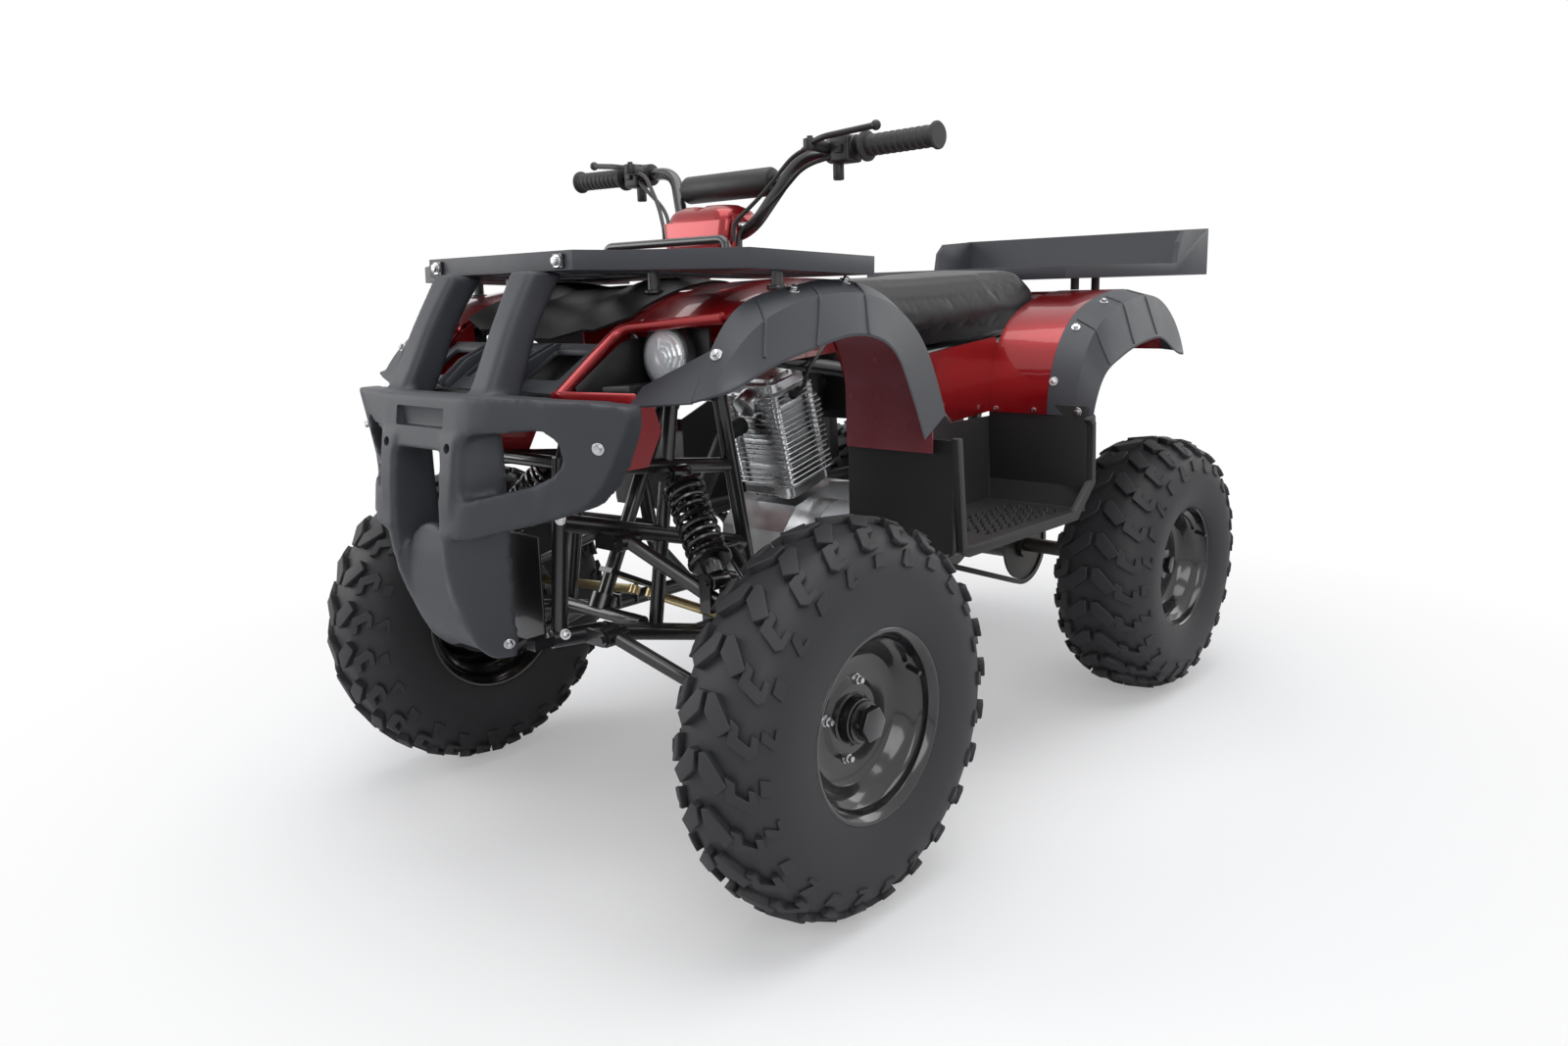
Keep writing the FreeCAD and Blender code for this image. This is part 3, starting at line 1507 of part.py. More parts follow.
def curve_height(curve, y):
    """Height of a smooth side-view curve at a distance along the bike."""
    line = Part.BSplineCurve()
    line.interpolate([Vector(0, along, height) for along, height in curve])
    low, high = line.FirstParameter, line.LastParameter
    for _ in range(40):
        middle = (low + high) / 2
        if line.value(middle).y < y:
            low = middle
        else:
            high = middle
    return line.value(low).z


def add_rear_rack():
    """Moulded rear rack: a deck with a wall round its rear half, on four posts."""
    top = 928
    deck = flat_plate([
        (-263, rear(-155)), (263, rear(-155)), (336, rear(225)), (336, rear(S.rear_overhang)), (-336, rear(S.rear_overhang)),
        (-336, rear(225)),
    ], top - float(S.rack_thickness), top)
    for x_low, x_high in ((-230, -140), (-90, 90), (140, 230)):
        deck = deck.cut(box((x_low, rear(-90), 800), (x_high, rear(-30), 1000)))
        deck = deck.cut(box((x_low, rear(30), 800), (x_high, rear(150), 1000)))
        deck = deck.cut(box((x_low, rear(210), 800), (x_high, rear(330), 1000)))
    wall = 12
    back = box((-336, rear(S.rear_overhang - wall), top - 5), (336, rear(S.rear_overhang), top + 80))
    side = side_plate([(rear(228), top - 5), (rear(S.rear_overhang), top - 5), (rear(S.rear_overhang), top + 80),
                       (rear(268), top + 72), (rear(240), top + 48)], 336 - wall, 336)
    posts = []
    for x, y in ((240, -70), (240, 24)):
        foot = max(curve_height(REAR_CREST, y - 9), curve_height(REAR_CREST, y + 9)) + 0.6
        posts.append(rod((x, rear(y), foot), (x, rear(y), top - 10), S.rack_post))
    feature_of("rear_rack", joined([deck, back, side, mirrored(side)] + posts
                                   + [mirrored(post) for post in posts]))


def add_tail_light():
    """Red lamp on the back edge of the tail deck."""
    seat_line = [(rear(y), curve_height(REAR_CREST, y) - 1.2) for y in (88, 98, 108, 118, 126, 133)]
    back_line = [(rear(153), 748), (rear(151), 786), (rear(132), 814), (rear(104), 824)]
    feature_of("tail_light", side_plate(seat_line + back_line, -70, 70))


def add_front_plate():
    """Bare steel plate across the bulkhead, behind the guard."""
    y = front(-212) - S.brace_tube - S.seat_gap
    body = new_body("front_plate", (0, y, 0))
    face = sketch_on(body, "XZ_Plane", "face")
    outline(face, [(-80, 382), (80, 382), (80, 548), (-80, 548)])
    pad(body, face, "face", 4)
    keep(body)


def build():
    add_wheels()
    add_rear_axle()
    add_frame()
    add_suspension_arms()
    add_front_shocks()
    add_knuckles()
    add_steering_stem()
    add_tie_rods()
    add_handlebar()
    add_handlebar_pad()
    add_grips()
    add_brake_levers()
    add_steering_cover()
    add_engine_case()
    add_engine_cylinder()
    add_carburettor()
    add_exhaust()
    add_chain()
    add_swingarm()
    add_rear_shock()
    add_front_body()
    add_headlights()
    add_hood()
    add_grille()
    add_front_flares()
    add_splash_guards()
    add_tank_cover()
    add_rear_body()
    add_rear_flares()
    add_footwells()
    add_seat()
    add_bumper()
    add_front_rack()
    add_rear_rack()
    add_tail_light()
    add_front_plate()


def check_all():
    """Stops if any object failed or any sub-part is empty or broken."""
    for item in document.Objects:
        if "Invalid" in item.State or "Error" in item.State:
            raise RuntimeError(f"{item.Label} failed: {item.State}")
    for label, item in parts.items():
        if item.Shape.isNull() or not item.Shape.isValid():
            raise RuntimeError(f"{label} has no valid shape")


def export_all():
    os.makedirs("parts", exist_ok=True)
    for label, item in parts.items():
        item.Shape.exportStep(f"parts/{label}.step")


build()
document.recompute()
check_all()
export_all()
print(len(parts), "sub-parts written")
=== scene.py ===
"""Looks of a four-wheeled quad bike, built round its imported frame."""

import math

import bpy
from bpy.props import FloatProperty, FloatVectorProperty, IntProperty, PointerProperty
from mathutils import Matrix, Vector
from mathutils.bvhtree import BVHTree


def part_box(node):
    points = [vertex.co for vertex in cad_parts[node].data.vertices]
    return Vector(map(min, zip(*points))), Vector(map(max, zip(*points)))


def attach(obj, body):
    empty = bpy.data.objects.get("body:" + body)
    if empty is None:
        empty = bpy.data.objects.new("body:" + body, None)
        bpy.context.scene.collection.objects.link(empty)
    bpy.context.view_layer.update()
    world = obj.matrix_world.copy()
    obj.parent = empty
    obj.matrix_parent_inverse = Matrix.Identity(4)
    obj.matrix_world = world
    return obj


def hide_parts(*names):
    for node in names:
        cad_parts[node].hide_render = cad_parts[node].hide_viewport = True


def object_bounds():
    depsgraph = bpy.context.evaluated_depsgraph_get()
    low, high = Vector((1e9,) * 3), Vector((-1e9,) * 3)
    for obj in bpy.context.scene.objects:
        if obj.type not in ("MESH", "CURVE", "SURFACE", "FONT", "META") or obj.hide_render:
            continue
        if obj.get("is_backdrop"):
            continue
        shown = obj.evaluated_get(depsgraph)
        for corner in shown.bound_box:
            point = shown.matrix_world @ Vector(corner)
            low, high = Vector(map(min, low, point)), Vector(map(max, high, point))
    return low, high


bl_info = {
    "name": "Quad Bike Looks",
    "version": (1, 0, 0),
    "blender": (4, 5, 0),
    "location": "View3D > Sidebar > Quad Bike",
    "description": "Dresses the plain quad bike frame with tyres, plastics, seat and fittings",
    "category": "Object",
}

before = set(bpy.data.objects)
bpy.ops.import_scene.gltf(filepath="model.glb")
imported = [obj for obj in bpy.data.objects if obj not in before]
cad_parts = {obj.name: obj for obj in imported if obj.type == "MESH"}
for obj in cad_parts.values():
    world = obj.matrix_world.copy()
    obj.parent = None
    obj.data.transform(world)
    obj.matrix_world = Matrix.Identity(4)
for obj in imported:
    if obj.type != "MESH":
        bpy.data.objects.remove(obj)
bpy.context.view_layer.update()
MM = 0.001
FRONT_AXLE = -588 * MM
REAR_AXLE = 577 * MM
# From the middle of the bike to the middle of a wheel
FRONT_TRACK = 470
REAR_TRACK = 395
BEAD_RADIUS = 127.5 * MM


# Settings

def size_mm(name, description, default):
    """A length property whose default is given in millimetres."""
    return FloatProperty(name=name, description=description, default=default * MM, unit="LENGTH")


def paint(name, description, default):
    """A colour property."""
    return FloatVectorProperty(name=name, description=description, default=default,
                               subtype="COLOR", size=3, min=0, max=1)


class TyreSizes(bpy.types.PropertyGroup):
    front_radius: size_mm("Front radius", "Radius over the lugs of a front tyre", 292)
    front_width: size_mm("Front width", "Width of a front tyre", 168)
    rear_radius: size_mm("Rear radius", "Radius over the lugs of a rear tyre", 279)
    rear_width: size_mm("Rear width", "Width of a rear tyre", 215)
    lug_height: size_mm("Lug height", "How far the centre lugs stand proud", 13)
    pitches: IntProperty(name="Pitches", description="Pairs of lug rows round a tyre", default=12)


class Paints(bpy.types.PropertyGroup):
    body_red: paint("Body red", "Metallic red of the fenders", (0.30, 0.004, 0.008))
    trim_grey: paint("Trim grey", "Grained plastic of guard, racks and flares", (0.034, 0.036, 0.043))
    rubber: paint("Rubber", "Tyre rubber", (0.018, 0.018, 0.020))
    enamel: paint("Enamel", "Black paint of frame and wheels", (0.008, 0.008, 0.009))


# Shader building

class Wire:
    """A shader socket that takes part in sums and products."""

    def __init__(self, finish, socket):
        self.finish = finish
        self.socket = socket

    def maths(self, operation, first, second=0.0):
        return self.finish.node("ShaderNodeMath", {"operation": operation}, {0: first, 1: second})

    def __add__(self, other):
        return self.maths("ADD", self, other)

    __radd__ = __add__

    def __sub__(self, other):
        return self.maths("SUBTRACT", self, other)

    def __rsub__(self, other):
        return self.maths("SUBTRACT", other, self)

    def __mul__(self, other):
        return self.maths("MULTIPLY", self, other)

    __rmul__ = __mul__

    def __truediv__(self, other):
        return self.maths("DIVIDE", self, other)

    def root(self):
        return self.maths("SQRT", self)

    def sine(self):
        return self.maths("SINE", self)

    def clamped(self):
        return self.finish.node("ShaderNodeClamp", {}, {"Value": self})


class Finish:
    """A material in the making, with its main shader."""

    def __init__(self, name, colour, roughness, **sockets):
        self.material = bpy.data.materials.new(name)
        self.material.use_nodes = True
        self.tree = self.material.node_tree
        self.shader = self.tree.nodes["Principled BSDF"]
        self.set(**{"Base Color": colour, "Roughness": roughness})
        self.set(**{key.replace("_", " ").title(): value for key, value in sockets.items()})
        self.place = None

    def feed(self, target, value):
        if isinstance(value, Wire):
            self.tree.links.new(value.socket, target)
        elif hasattr(value, "__len__") and len(value) == 3 and target.type == "RGBA":
            target.default_value = (*value, 1)
        else:
            target.default_value = value

    def set(self, **sockets):
        for name, value in sockets.items():
            self.feed(self.shader.inputs[name.replace("Ior", "IOR")], value)

    def node(self, kind, settings, sockets, output=0):
        """Adds a node, sets it up and returns one of its outputs as a wire."""
        made = self.tree.nodes.new(kind)
        for name, value in settings.items():
            if name == "stops":
                ramp = made.color_ramp
                for index, (place, shade) in enumerate(value):
                    stop = ramp.elements[index] if index < 2 else ramp.elements.new(place)
                    stop.position = place
                    stop.color = (*shade, 1) if hasattr(shade, "__len__") else (shade, shade, shade, 1)
            else:
                setattr(made, name, value)
        for name, value in sockets.items():
            self.feed(made.inputs[name], value)
        return Wire(self, made.outputs[output])

    def coords(self):
        if self.place is None:
            self.place = self.node("ShaderNodeTexCoord", {}, {}, "Object")
        return self.place

    def axis(self, name):
        return self.node("ShaderNodeSeparateXYZ", {}, {"Vector": self.coords()}, name)

    def stretched(self, x, y, z):
        return self.node("ShaderNodeMapping", {}, {"Vector": self.coords(), "Scale": (x, y, z)})

    def noise(self, scale, detail=2.0, roughness=0.5, place=None):
        return self.node("ShaderNodeTexNoise", {}, {
            "Vector": place or self.coords(), "Scale": scale, "Detail": detail, "Roughness": roughness})

    def cells(self, scale, feature="F1", place=None):
        return self.node("ShaderNodeTexVoronoi", {"feature": feature},
                         {"Vector": place or self.coords(), "Scale": scale})

    def ramp(self, factor, stops):
        return self.node("ShaderNodeValToRGB", {"stops": stops}, {"Fac": factor})

    def mix(self, factor, first, second):
        return self.node("ShaderNodeMix", {"data_type": "RGBA"}, {0: factor, 6: first, 7: second}, 2)

    def drift(self, cloud, colour, darker, lighter, roughness, spread):
        """Lets colour and roughness change over the surface with a cloud."""
        self.set(**{
            "Base Color": self.mix(cloud, shade_of(colour, darker), shade_of(colour, lighter)),
            "Roughness": roughness + spread * cloud,
        })

    def relief(self, height, depth_mm, strength=1.0):
        bump = self.node("ShaderNodeBump", {}, {
            "Height": height, "Distance": depth_mm * MM, "Strength": strength})
        self.set(Normal=bump)


def shade_of(colour, factor):
    """A colour made lighter or darker."""
    return tuple(min(1.0, value * factor) for value in colour)


def grained_plastic(name, colour, roughness=0.5, grain=1500, depth=0.05):
    """Moulded plastic with a fine grain and faint scuffs."""
    made = Finish(name, colour, roughness, specular_ior_level=0.45)
    cloud = made.noise(6, 3)
    fine = made.noise(grain, 2)
    scuff = made.noise(38, 6, 0.72, made.stretched(1, 1, 0.35))
    made.set(**{
        "Base Color": made.mix(cloud, shade_of(colour, 0.88), shade_of(colour, 1.16)),
        "Roughness": (roughness - 0.07) + 0.10 * cloud + 0.10 * scuff,
    })
    made.relief(fine, depth, 0.55)
    return made.material


def enamel(name, colour, roughness=0.16):
    """Gloss paint over steel, with a faint orange peel."""
    made = Finish(name, colour, roughness, coat_roughness=0.04, coat_ior=1.5)
    peel = made.noise(260, 1)
    dust = made.noise(22, 5, 0.65)
    made.set(**{
        "Roughness": roughness + 0.10 * dust,
        "Coat Weight": 0.6 - 0.25 * dust,
    })
    made.relief(peel, 0.03, 0.35)
    return made.material


def candy_paint(name, colour):
    """Metallic red plastic under clear lacquer."""
    made = Finish(name, colour, 0.28, metallic=0.6, coat_weight=0.7, coat_roughness=0.03)
    flake = made.cells(3200)
    sparkle = made.ramp(flake, [(0.0, shade_of(colour, 1.5)), (0.55, colour)])
    cloud = made.noise(5, 2)
    made.set(**{
        "Base Color": made.mix(cloud, sparkle, shade_of(colour, 0.82)),
        "Roughness": 0.22 + 0.12 * flake,
    })
    made.relief(made.noise(45, 1), 0.03, 0.25)
    return made.material


def tyre_rubber(name, colour):
    """Moulded rubber with a fine surface and a trace of dust in its texture."""
    made = Finish(name, colour, 0.62, specular_ior_level=0.42)
    dust = made.noise(14, 6, 0.7)
    fine = made.noise(900, 3, 0.6)
    made.drift(dust, colour, 0.8, 1.45, 0.48, 0.20)
    made.relief(fine, 0.08, 0.5)
    return made.material


def cast_metal(name, colour, roughness=0.34, grain=420, depth=0.10):
    """Bare cast metal with a sandy grain and stains."""
    made = Finish(name, colour, roughness, metallic=1.0)
    fine = made.noise(grain, 3, 0.6)
    stain = made.noise(24, 4, 0.6)
    made.drift(stain, colour, 0.72, 1.1, roughness - 0.08, 0.22)
    made.relief(fine, depth, 0.5)
    return made.material


def bright_metal(name, colour, roughness=0.22):
    """Zinc plate: bright, with a fine uneven haze."""
    made = Finish(name, colour, roughness, metallic=1.0)
    haze = made.noise(160, 4, 0.65)
    made.drift(haze, colour, 0.75, 1.1, roughness - 0.05, 0.18)
    made.relief(haze, 0.02, 0.3)
    return made.material


def vinyl(name, colour):
    """Grained seat cover."""
    made = Finish(name, colour, 0.46, specular_ior_level=0.5, sheen_roughness=0.5)
    pebbles = made.cells(520, "DISTANCE_TO_EDGE")
    fine = made.noise(700, 3)
    wear = made.noise(9, 4, 0.6)
    made.drift(wear, colour, 0.85, 1.35, 0.40, 0.16)
    made.relief(pebbles.clamped() * 0.7 + fine * 0.3, 0.16, 0.5)
    return made.material


def soft_rubber(name, colour, roughness=0.6):
    """Soft rubber or foam of one colour."""
    made = Finish(name, colour, roughness)
    fine = made.noise(1100, 3)
    made.set(**{"Roughness": (roughness - 0.06) + 0.14 * made.noise(30, 4)})
    made.relief(fine, 0.06, 0.6)
    return made.material


def clear_lens(name):
    """Clear lamp glass: mostly see-through, with a painted reflection that makes it paler and less clear
    towards its edges.
    """
    made = Finish(name, (0.9, 0.93, 0.95), 0.03, coat_weight=1.0, coat_roughness=0.02)
    edge = made.node("ShaderNodeLayerWeight", {}, {"Blend": 0.35}, "Facing")
    # Painted reflection: the pale glass grows less see-through where it is seen edge-on.
    made.set(Alpha=0.16 + 0.42 * edge)
    made.material.surface_render_method = "BLENDED"
    return made.material


def red_lens(name):
    """Ribbed red glass of the tail lamp."""
    made = Finish(name, (0.45, 0.004, 0.006), 0.12, coat_weight=1.0, coat_roughness=0.03)
    ribs = (made.axis("X") * 900).sine()
    made.relief(ribs, 0.4, 0.5)
    return made.material


def plain_paint(name, colour, roughness):
    """Even paint with a slight haze."""
    made = Finish(name, colour, roughness)
    made.set(Roughness=(roughness - 0.05) + 0.1 * made.noise(40, 4))
    made.relief(made.noise(500, 2), 0.03, 0.4)
    return made.material


LOOKS = {}


def make_finishes():
    """All finishes, under the names that the pieces ask for."""
    paints = bpy.context.scene.quad_paints
    red, trim, rubber, black = (tuple(colour) for colour in (
        paints.body_red, paints.trim_grey, paints.rubber, paints.enamel))
    recipes = {
        "tyre_rubber": (tyre_rubber, rubber),
        "wheel_black": (enamel, black, 0.12),
        "frame_black": (enamel, shade_of(black, 1.4), 0.26),
        "shock_black": (enamel, black, 0.2),
        "candy_red": (candy_paint, red),
        "trim_dark": (grained_plastic, trim, 0.46, 1100, 0.05),
        "guard_grain": (grained_plastic, trim, 0.5, 480, 0.16),
        "hood_black": (grained_plastic, (0.010, 0.010, 0.011), 0.38, 1200, 0.01),
        "nose_grey": (grained_plastic, shade_of(trim, 1.05), 0.5),
        "well_black": (grained_plastic, (0.014, 0.014, 0.015), 0.5, 800, 0.08),
        "seat_vinyl": (vinyl, (0.014, 0.014, 0.015)),
        "engine_metal": (cast_metal, (0.78, 0.79, 0.80), 0.3),
        "fin_metal": (cast_metal, (0.80, 0.81, 0.82), 0.26, 1400, 0.02),
        "panel_red": (plain_paint, (0.24, 0.050, 0.064), 0.26),
        "steel": (bright_metal, (0.60, 0.60, 0.61)),
        "exhaust_black": (plain_paint, (0.014, 0.014, 0.014), 0.5),
        "black_plastic": (grained_plastic, (0.012, 0.012, 0.013), 0.42, 900, 0.04),
        "grip_rubber": (soft_rubber, (0.016, 0.016, 0.017)),
        "pad_foam": (soft_rubber, (0.011, 0.011, 0.012), 0.5),
        "lamp_lens": (clear_lens,),
        "lamp_silver": (bright_metal, (0.95, 0.96, 0.97), 0.1),
        "tail_red": (red_lens,),
        "chain_steel": (bright_metal, (0.10, 0.095, 0.09), 0.42),
        "yellow_zinc": (bright_metal, (0.62, 0.50, 0.27), 0.3),
    }
    for name, (kind, *values) in recipes.items():
        LOOKS[name] = kind(name, *values)


# Modelling helpers

def clear_selection():
    if bpy.context.object and bpy.context.object.mode != "OBJECT":
        bpy.ops.object.mode_set(mode="OBJECT")
    bpy.ops.object.select_all(action="DESELECT")


def take(piece):
    """Makes one object the only selected and active one."""
    clear_selection()
    piece.select_set(True)
    bpy.context.view_layer.objects.active = piece


def edit(piece):
    """Opens one object for editing with all of it selected."""
    take(piece)
    bpy.ops.object.mode_set(mode="EDIT")
    bpy.ops.mesh.select_all(action="SELECT")


def leave_edit():
    bpy.ops.object.mode_set(mode="OBJECT")


def modify(piece, kind, **settings):
    """Adds a modifier with its settings and applies it."""
    take(piece)
    modifier = piece.modifiers.new(kind.lower(), kind)
    for name, value in settings.items():
        setattr(modifier, name, value)
    bpy.ops.object.modifier_apply(modifier=modifier.name)


def soften(piece, width_mm, segments=2, angle=30):
    """Rounds the edges that are sharper than an angle and hands the piece back."""
    modify(piece, "BEVEL", width=width_mm * MM, segments=segments, limit_method="ANGLE",
           angle_limit=math.radians(angle), harden_normals=False)
    return piece


def smooth(piece, angle=40):
    """Shades a piece smooth up to an angle between faces and hands it back."""
    take(piece)
    bpy.ops.object.shade_smooth_by_angle(angle=math.radians(angle))
    return piece


def make_solid(piece):
    """Merges doubles and turns all faces outwards."""
    edit(piece)
    bpy.ops.mesh.remove_doubles(threshold=0.00002)
    bpy.ops.mesh.normals_make_consistent(inside=False)
    leave_edit()


def settle(piece):
    """Puts the object's place, turn and scale into its mesh and hands it back."""
    take(piece)
    bpy.ops.object.transform_apply(location=True, rotation=True, scale=True)
    return piece


def copy_of(piece, name, matrix=None):
    """A copy with its own mesh, moved by a matrix."""
    made = bpy.data.objects.new(name, piece.data.copy())
    bpy.context.scene.collection.objects.link(made)
    if matrix is not None:
        made.data.transform(matrix)
        if matrix.determinant() < 0:
            made.data.flip_normals()
    return made


def drop(piece):
    bpy.data.objects.remove(piece)


def join(pieces, name):
    """Joins pieces into the first one, under a name."""
    clear_selection()
    for piece in pieces:
        piece.select_set(True)
    bpy.context.view_layer.objects.active = pieces[0]
    if len(pieces) > 1:
        bpy.ops.object.join()
    pieces[0].name = name
    return pieces[0]


MIRROR = Matrix.Scale(-1, 4, (1, 0, 0))


def pair_of(piece):
    """A piece and its mirror image across the bike."""
    return [piece, copy_of(piece, piece.name + "_twin", MIRROR)]


def cad_copy(node):
    """A merged copy of a CAD node, as a start for a finer piece."""
    piece = copy_of(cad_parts[node], node + "_copy")
    piece.data.materials.clear()
    edit(piece)
    bpy.ops.mesh.remove_doubles(threshold=0.00001)
    leave_edit()
    return piece


def dress(piece, name, body, slot, *replaced, look=None, angle=None):
    """Smooths a piece up to an angle, names it, gives it its finish and lets it ride on a body."""
    if angle:
        smooth(piece, angle)
    settle(piece)
    piece.name = name
    piece.data.name = name
    piece.data.materials.clear()
    piece.data.materials.append(LOOKS[look or slot])
    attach(piece, body)
    if replaced:
        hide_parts(*replaced)
    return piece


def dress_pair(piece, name, body, slot, *replaced, look=None, angle=None):
    """Dresses a piece of the left side together with its mirror image."""
    if angle:
        smooth(piece, angle)
    return dress(join(pair_of(piece), name), name, body, slot, *replaced, look=look)


def turn_to(direction, forward=(0, 0, 1)):
    """The turn that brings the forward way on to a direction."""
    return Vector(forward).rotation_difference(Vector(direction))


def spot(x, y, z):
    """A place given in millimetres."""
    return Vector((x * MM, y * MM, z * MM))


def ahead(x, y, z):
    """A place in millimetres, its middle value counted rearwards from the front axle."""
    return Vector((x * MM, FRONT_AXLE + y * MM, z * MM))


def astern(x, y, z):
    """A place in millimetres, its middle value counted rearwards from the rear axle."""
    return Vector((x * MM, REAR_AXLE + y * MM, z * MM))


def polygon(places, fill="NGON"):
    """A closed line of corners, filled or not."""
    clear_selection()
    bpy.ops.mesh.primitive_circle_add(vertices=len(places), radius=1, fill_type=fill)
    piece = bpy.context.object
    for vertex, place in zip(piece.data.vertices, places):
        vertex.co = place
    return piece


def plate(outline, depth, draft=0.0):
    """A flat outline in metres on XY, pushed up along Z, its top drawn in by the draft."""
    piece = polygon([(across, along, 0) for across, along in outline])
    edit(piece)
    bpy.ops.mesh.extrude_region_move(TRANSFORM_OT_translate={"value": (0, 0, depth)})
    if draft:
        bpy.ops.mesh.inset(thickness=draft, depth=0)
        bpy.ops.mesh.select_all(action="DESELECT")
    leave_edit()
    make_solid(piece)
    return piece


def spun(profile, steps, axis=(1, 0, 0), centre=(0, 0, 0)):
    """A closed profile of (along the axis, radius) pairs in metres, spun all the way round."""
    piece = polygon([(along, 0, radius) for along, radius in profile], "NOTHING")
    edit(piece)
    bpy.ops.mesh.spin(steps=steps, angle=math.tau, center=(0, 0, 0), axis=(1, 0, 0))
    leave_edit()
    make_solid(piece)
    turn = turn_to(axis, (1, 0, 0)).to_matrix().to_4x4()
    piece.data.transform(Matrix.Translation(Vector(centre)) @ turn)
    return piece


def turned(section, steps, axis=(1, 0, 0), centre=(0, 0, 0), widen=1.0):
    """A section of (along the axis, radius) pairs in millimetres, spun all the way round."""
    return spun([(along * MM, radius * widen * MM) for along, radius in section], steps, axis, centre)


def bar(start, end, radius, sides=16, end_radius=None):
    """A round bar between two points; its ends may differ in radius."""
    start, end = Vector(start), Vector(end)
    middle = (start + end) / 2
    clear_selection()
    bpy.ops.mesh.primitive_cone_add(
        vertices=sides, radius1=radius, radius2=radius if end_radius is None else end_radius,
        depth=(end - start).length, location=middle, rotation=turn_to(end - start).to_euler())
    return settle(bpy.context.object)


def ball(centre, radius, segments=20):
    """A ball round a place."""
    clear_selection()
    bpy.ops.mesh.primitive_uv_sphere_add(segments=segments, ring_count=segments // 2, radius=radius,
                                         location=centre)
    return settle(bpy.context.object)


def box(low, high):
    """A box between two corners given as for ahead."""
    low, high = ahead(*low), ahead(*high)
    clear_selection()
    bpy.ops.mesh.primitive_cube_add(size=1, location=(low + high) / 2)
    bpy.context.object.scale = high - low
    return settle(bpy.context.object)


def tube(points, radius, sides, kind="POLY", **settings):
    """A round bar with closed ends along a spline of one kind."""
    curve = bpy.data.curves.new("tube", "CURVE")
    curve.dimensions = "3D"
    curve.bevel_depth = radius
    curve.bevel_resolution = sides // 4
    curve.use_fill_caps = True
    spline = curve.splines.new(kind)
    spline.points.add(len(points) - 1)
    for target, place in zip(spline.points, points):
        target.co = (*place, 1)
    for name, value in settings.items():
        setattr(spline, name, value)
    piece = bpy.data.objects.new("tube", curve)
    bpy.context.scene.collection.objects.link(piece)
    take(piece)
    bpy.ops.object.convert(target="MESH")
    return bpy.context.object


def hose(points, radius, sides=10, resolution=12):
    """A tube along a smooth curve through given control points."""
    return tube(points, radius, sides, "NURBS", order_u=3, use_endpoint_u=True, resolution_u=resolution)


def bolt_master(radius=6.5, washer=10.5):
    """A hexagon bolt head on a washer, its seat at the origin, facing up Z."""
    head = soften(bar((0, 0, 1.6 * MM), (0, 0, 7.2 * MM), radius * MM, 6), 0.7, 2)
    ring = soften(bar((0, 0, -0.6 * MM), (0, 0, 1.6 * MM), washer * MM, 20), 0.4, 1)
    return smooth(join([head, ring], "bolt"), 35)


BOLT_TURN = 0.7


def scatter(master, seats, name):
    """Copies of a Z-facing piece at (place, direction) seats, each turned on, joined; the master goes."""
    pieces = []
    for index, (place, direction) in enumerate(seats):
        lean = turn_to(direction).to_matrix().to_4x4()
        matrix = Matrix.Translation(Vector(place)) @ lean @ Matrix.Rotation(BOLT_TURN * index, 4, "Z")
        pieces.append(copy_of(master, name, matrix))
    drop(master)
    return join(pieces, name)


# Seating on the frame

SKINS = {}


def meet(node, start, aim):
    """Where the line from start to aim first meets a node or piece, and the way its face looks."""
    if node not in SKINS:
        mesh = (bpy.data.objects[node] if node in bpy.data.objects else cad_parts[node]).data
        SKINS[node] = BVHTree.FromPolygons([vertex.co.copy() for vertex in mesh.vertices],
                                           [tuple(face.vertices) for face in mesh.polygons])
    way = (Vector(aim) - Vector(start)).normalized()
    place, side, *_ = SKINS[node].ray_cast(Vector(start), way)
    if place is None:
        raise ValueError(f"{node} has nothing between {tuple(start)} and {tuple(aim)}")
    return place, -side if side.dot(way) > 0 else side


SEAT_REACH = 60 * MM


def seat_on(node, place, outward):
    """The seat on a node or piece near a place, found along the way out."""
    here, reach = ahead(*place), Vector(outward).normalized() * SEAT_REACH
    return meet(node, here + reach, here - reach)


def moulded(node, width):
    """A copy of a CAD node with its edges rounded like a moulding's."""
    piece = cad_copy(node)
    edit(piece)
    bpy.ops.mesh.dissolve_limited(angle_limit=math.radians(0.6))
    leave_edit()
    return smooth(soften(piece, width, 2, 28), 40)


# Forms through outlines

# A bend takes at most this share of the line on either side of its corner
BEND_SHARE = 0.45


def bent(before, corner, after, bend, steps):
    """Places along the rounded corner between two neighbours."""
    back, on = before - corner, after - corner
    cut = min(bend, back.length * BEND_SHARE, on.length * BEND_SHARE)
    start, end = corner + back.normalized() * cut, corner + on.normalized() * cut
    return [start * (1 - share) ** 2 + corner * 2 * share * (1 - share) + end * share ** 2
            for share in (step / steps for step in range(steps + 1))]


def rounded(ring, bend, steps=4):
    """A closed outline with its corners rounded."""
    ring = [Vector(corner) for corner in ring]
    found = []
    for index, corner in enumerate(ring):
        found += bent(ring[index - 1], corner, ring[(index + 1) % len(ring)], bend, steps)
    return found


def flow(a, b, c, d, share):
    """A value on the smooth line between b and c, whose neighbours are a and d."""
    return 0.5 * (2 * b + (c - a) * share + (2 * a - 5 * b + 4 * c - d) * share ** 2
                  + (3 * b - a - 3 * c + d) * share ** 3)


def flowing(points, count):
    """Places along a smooth line through points, evenly by number."""
    points = [Vector(point) for point in points]
    last = len(points) - 1
    found = []
    for index in range(count + 1):
        place = index / count * last
        step = min(int(place), last - 1)
        share = place - step
        b, c = points[step], points[step + 1]
        a = points[step - 1] if step else b * 2 - c
        d = points[step + 2] if step + 2 <= last else c * 2 - b
        found.append(flow(a, b, c, d, share))
    return found


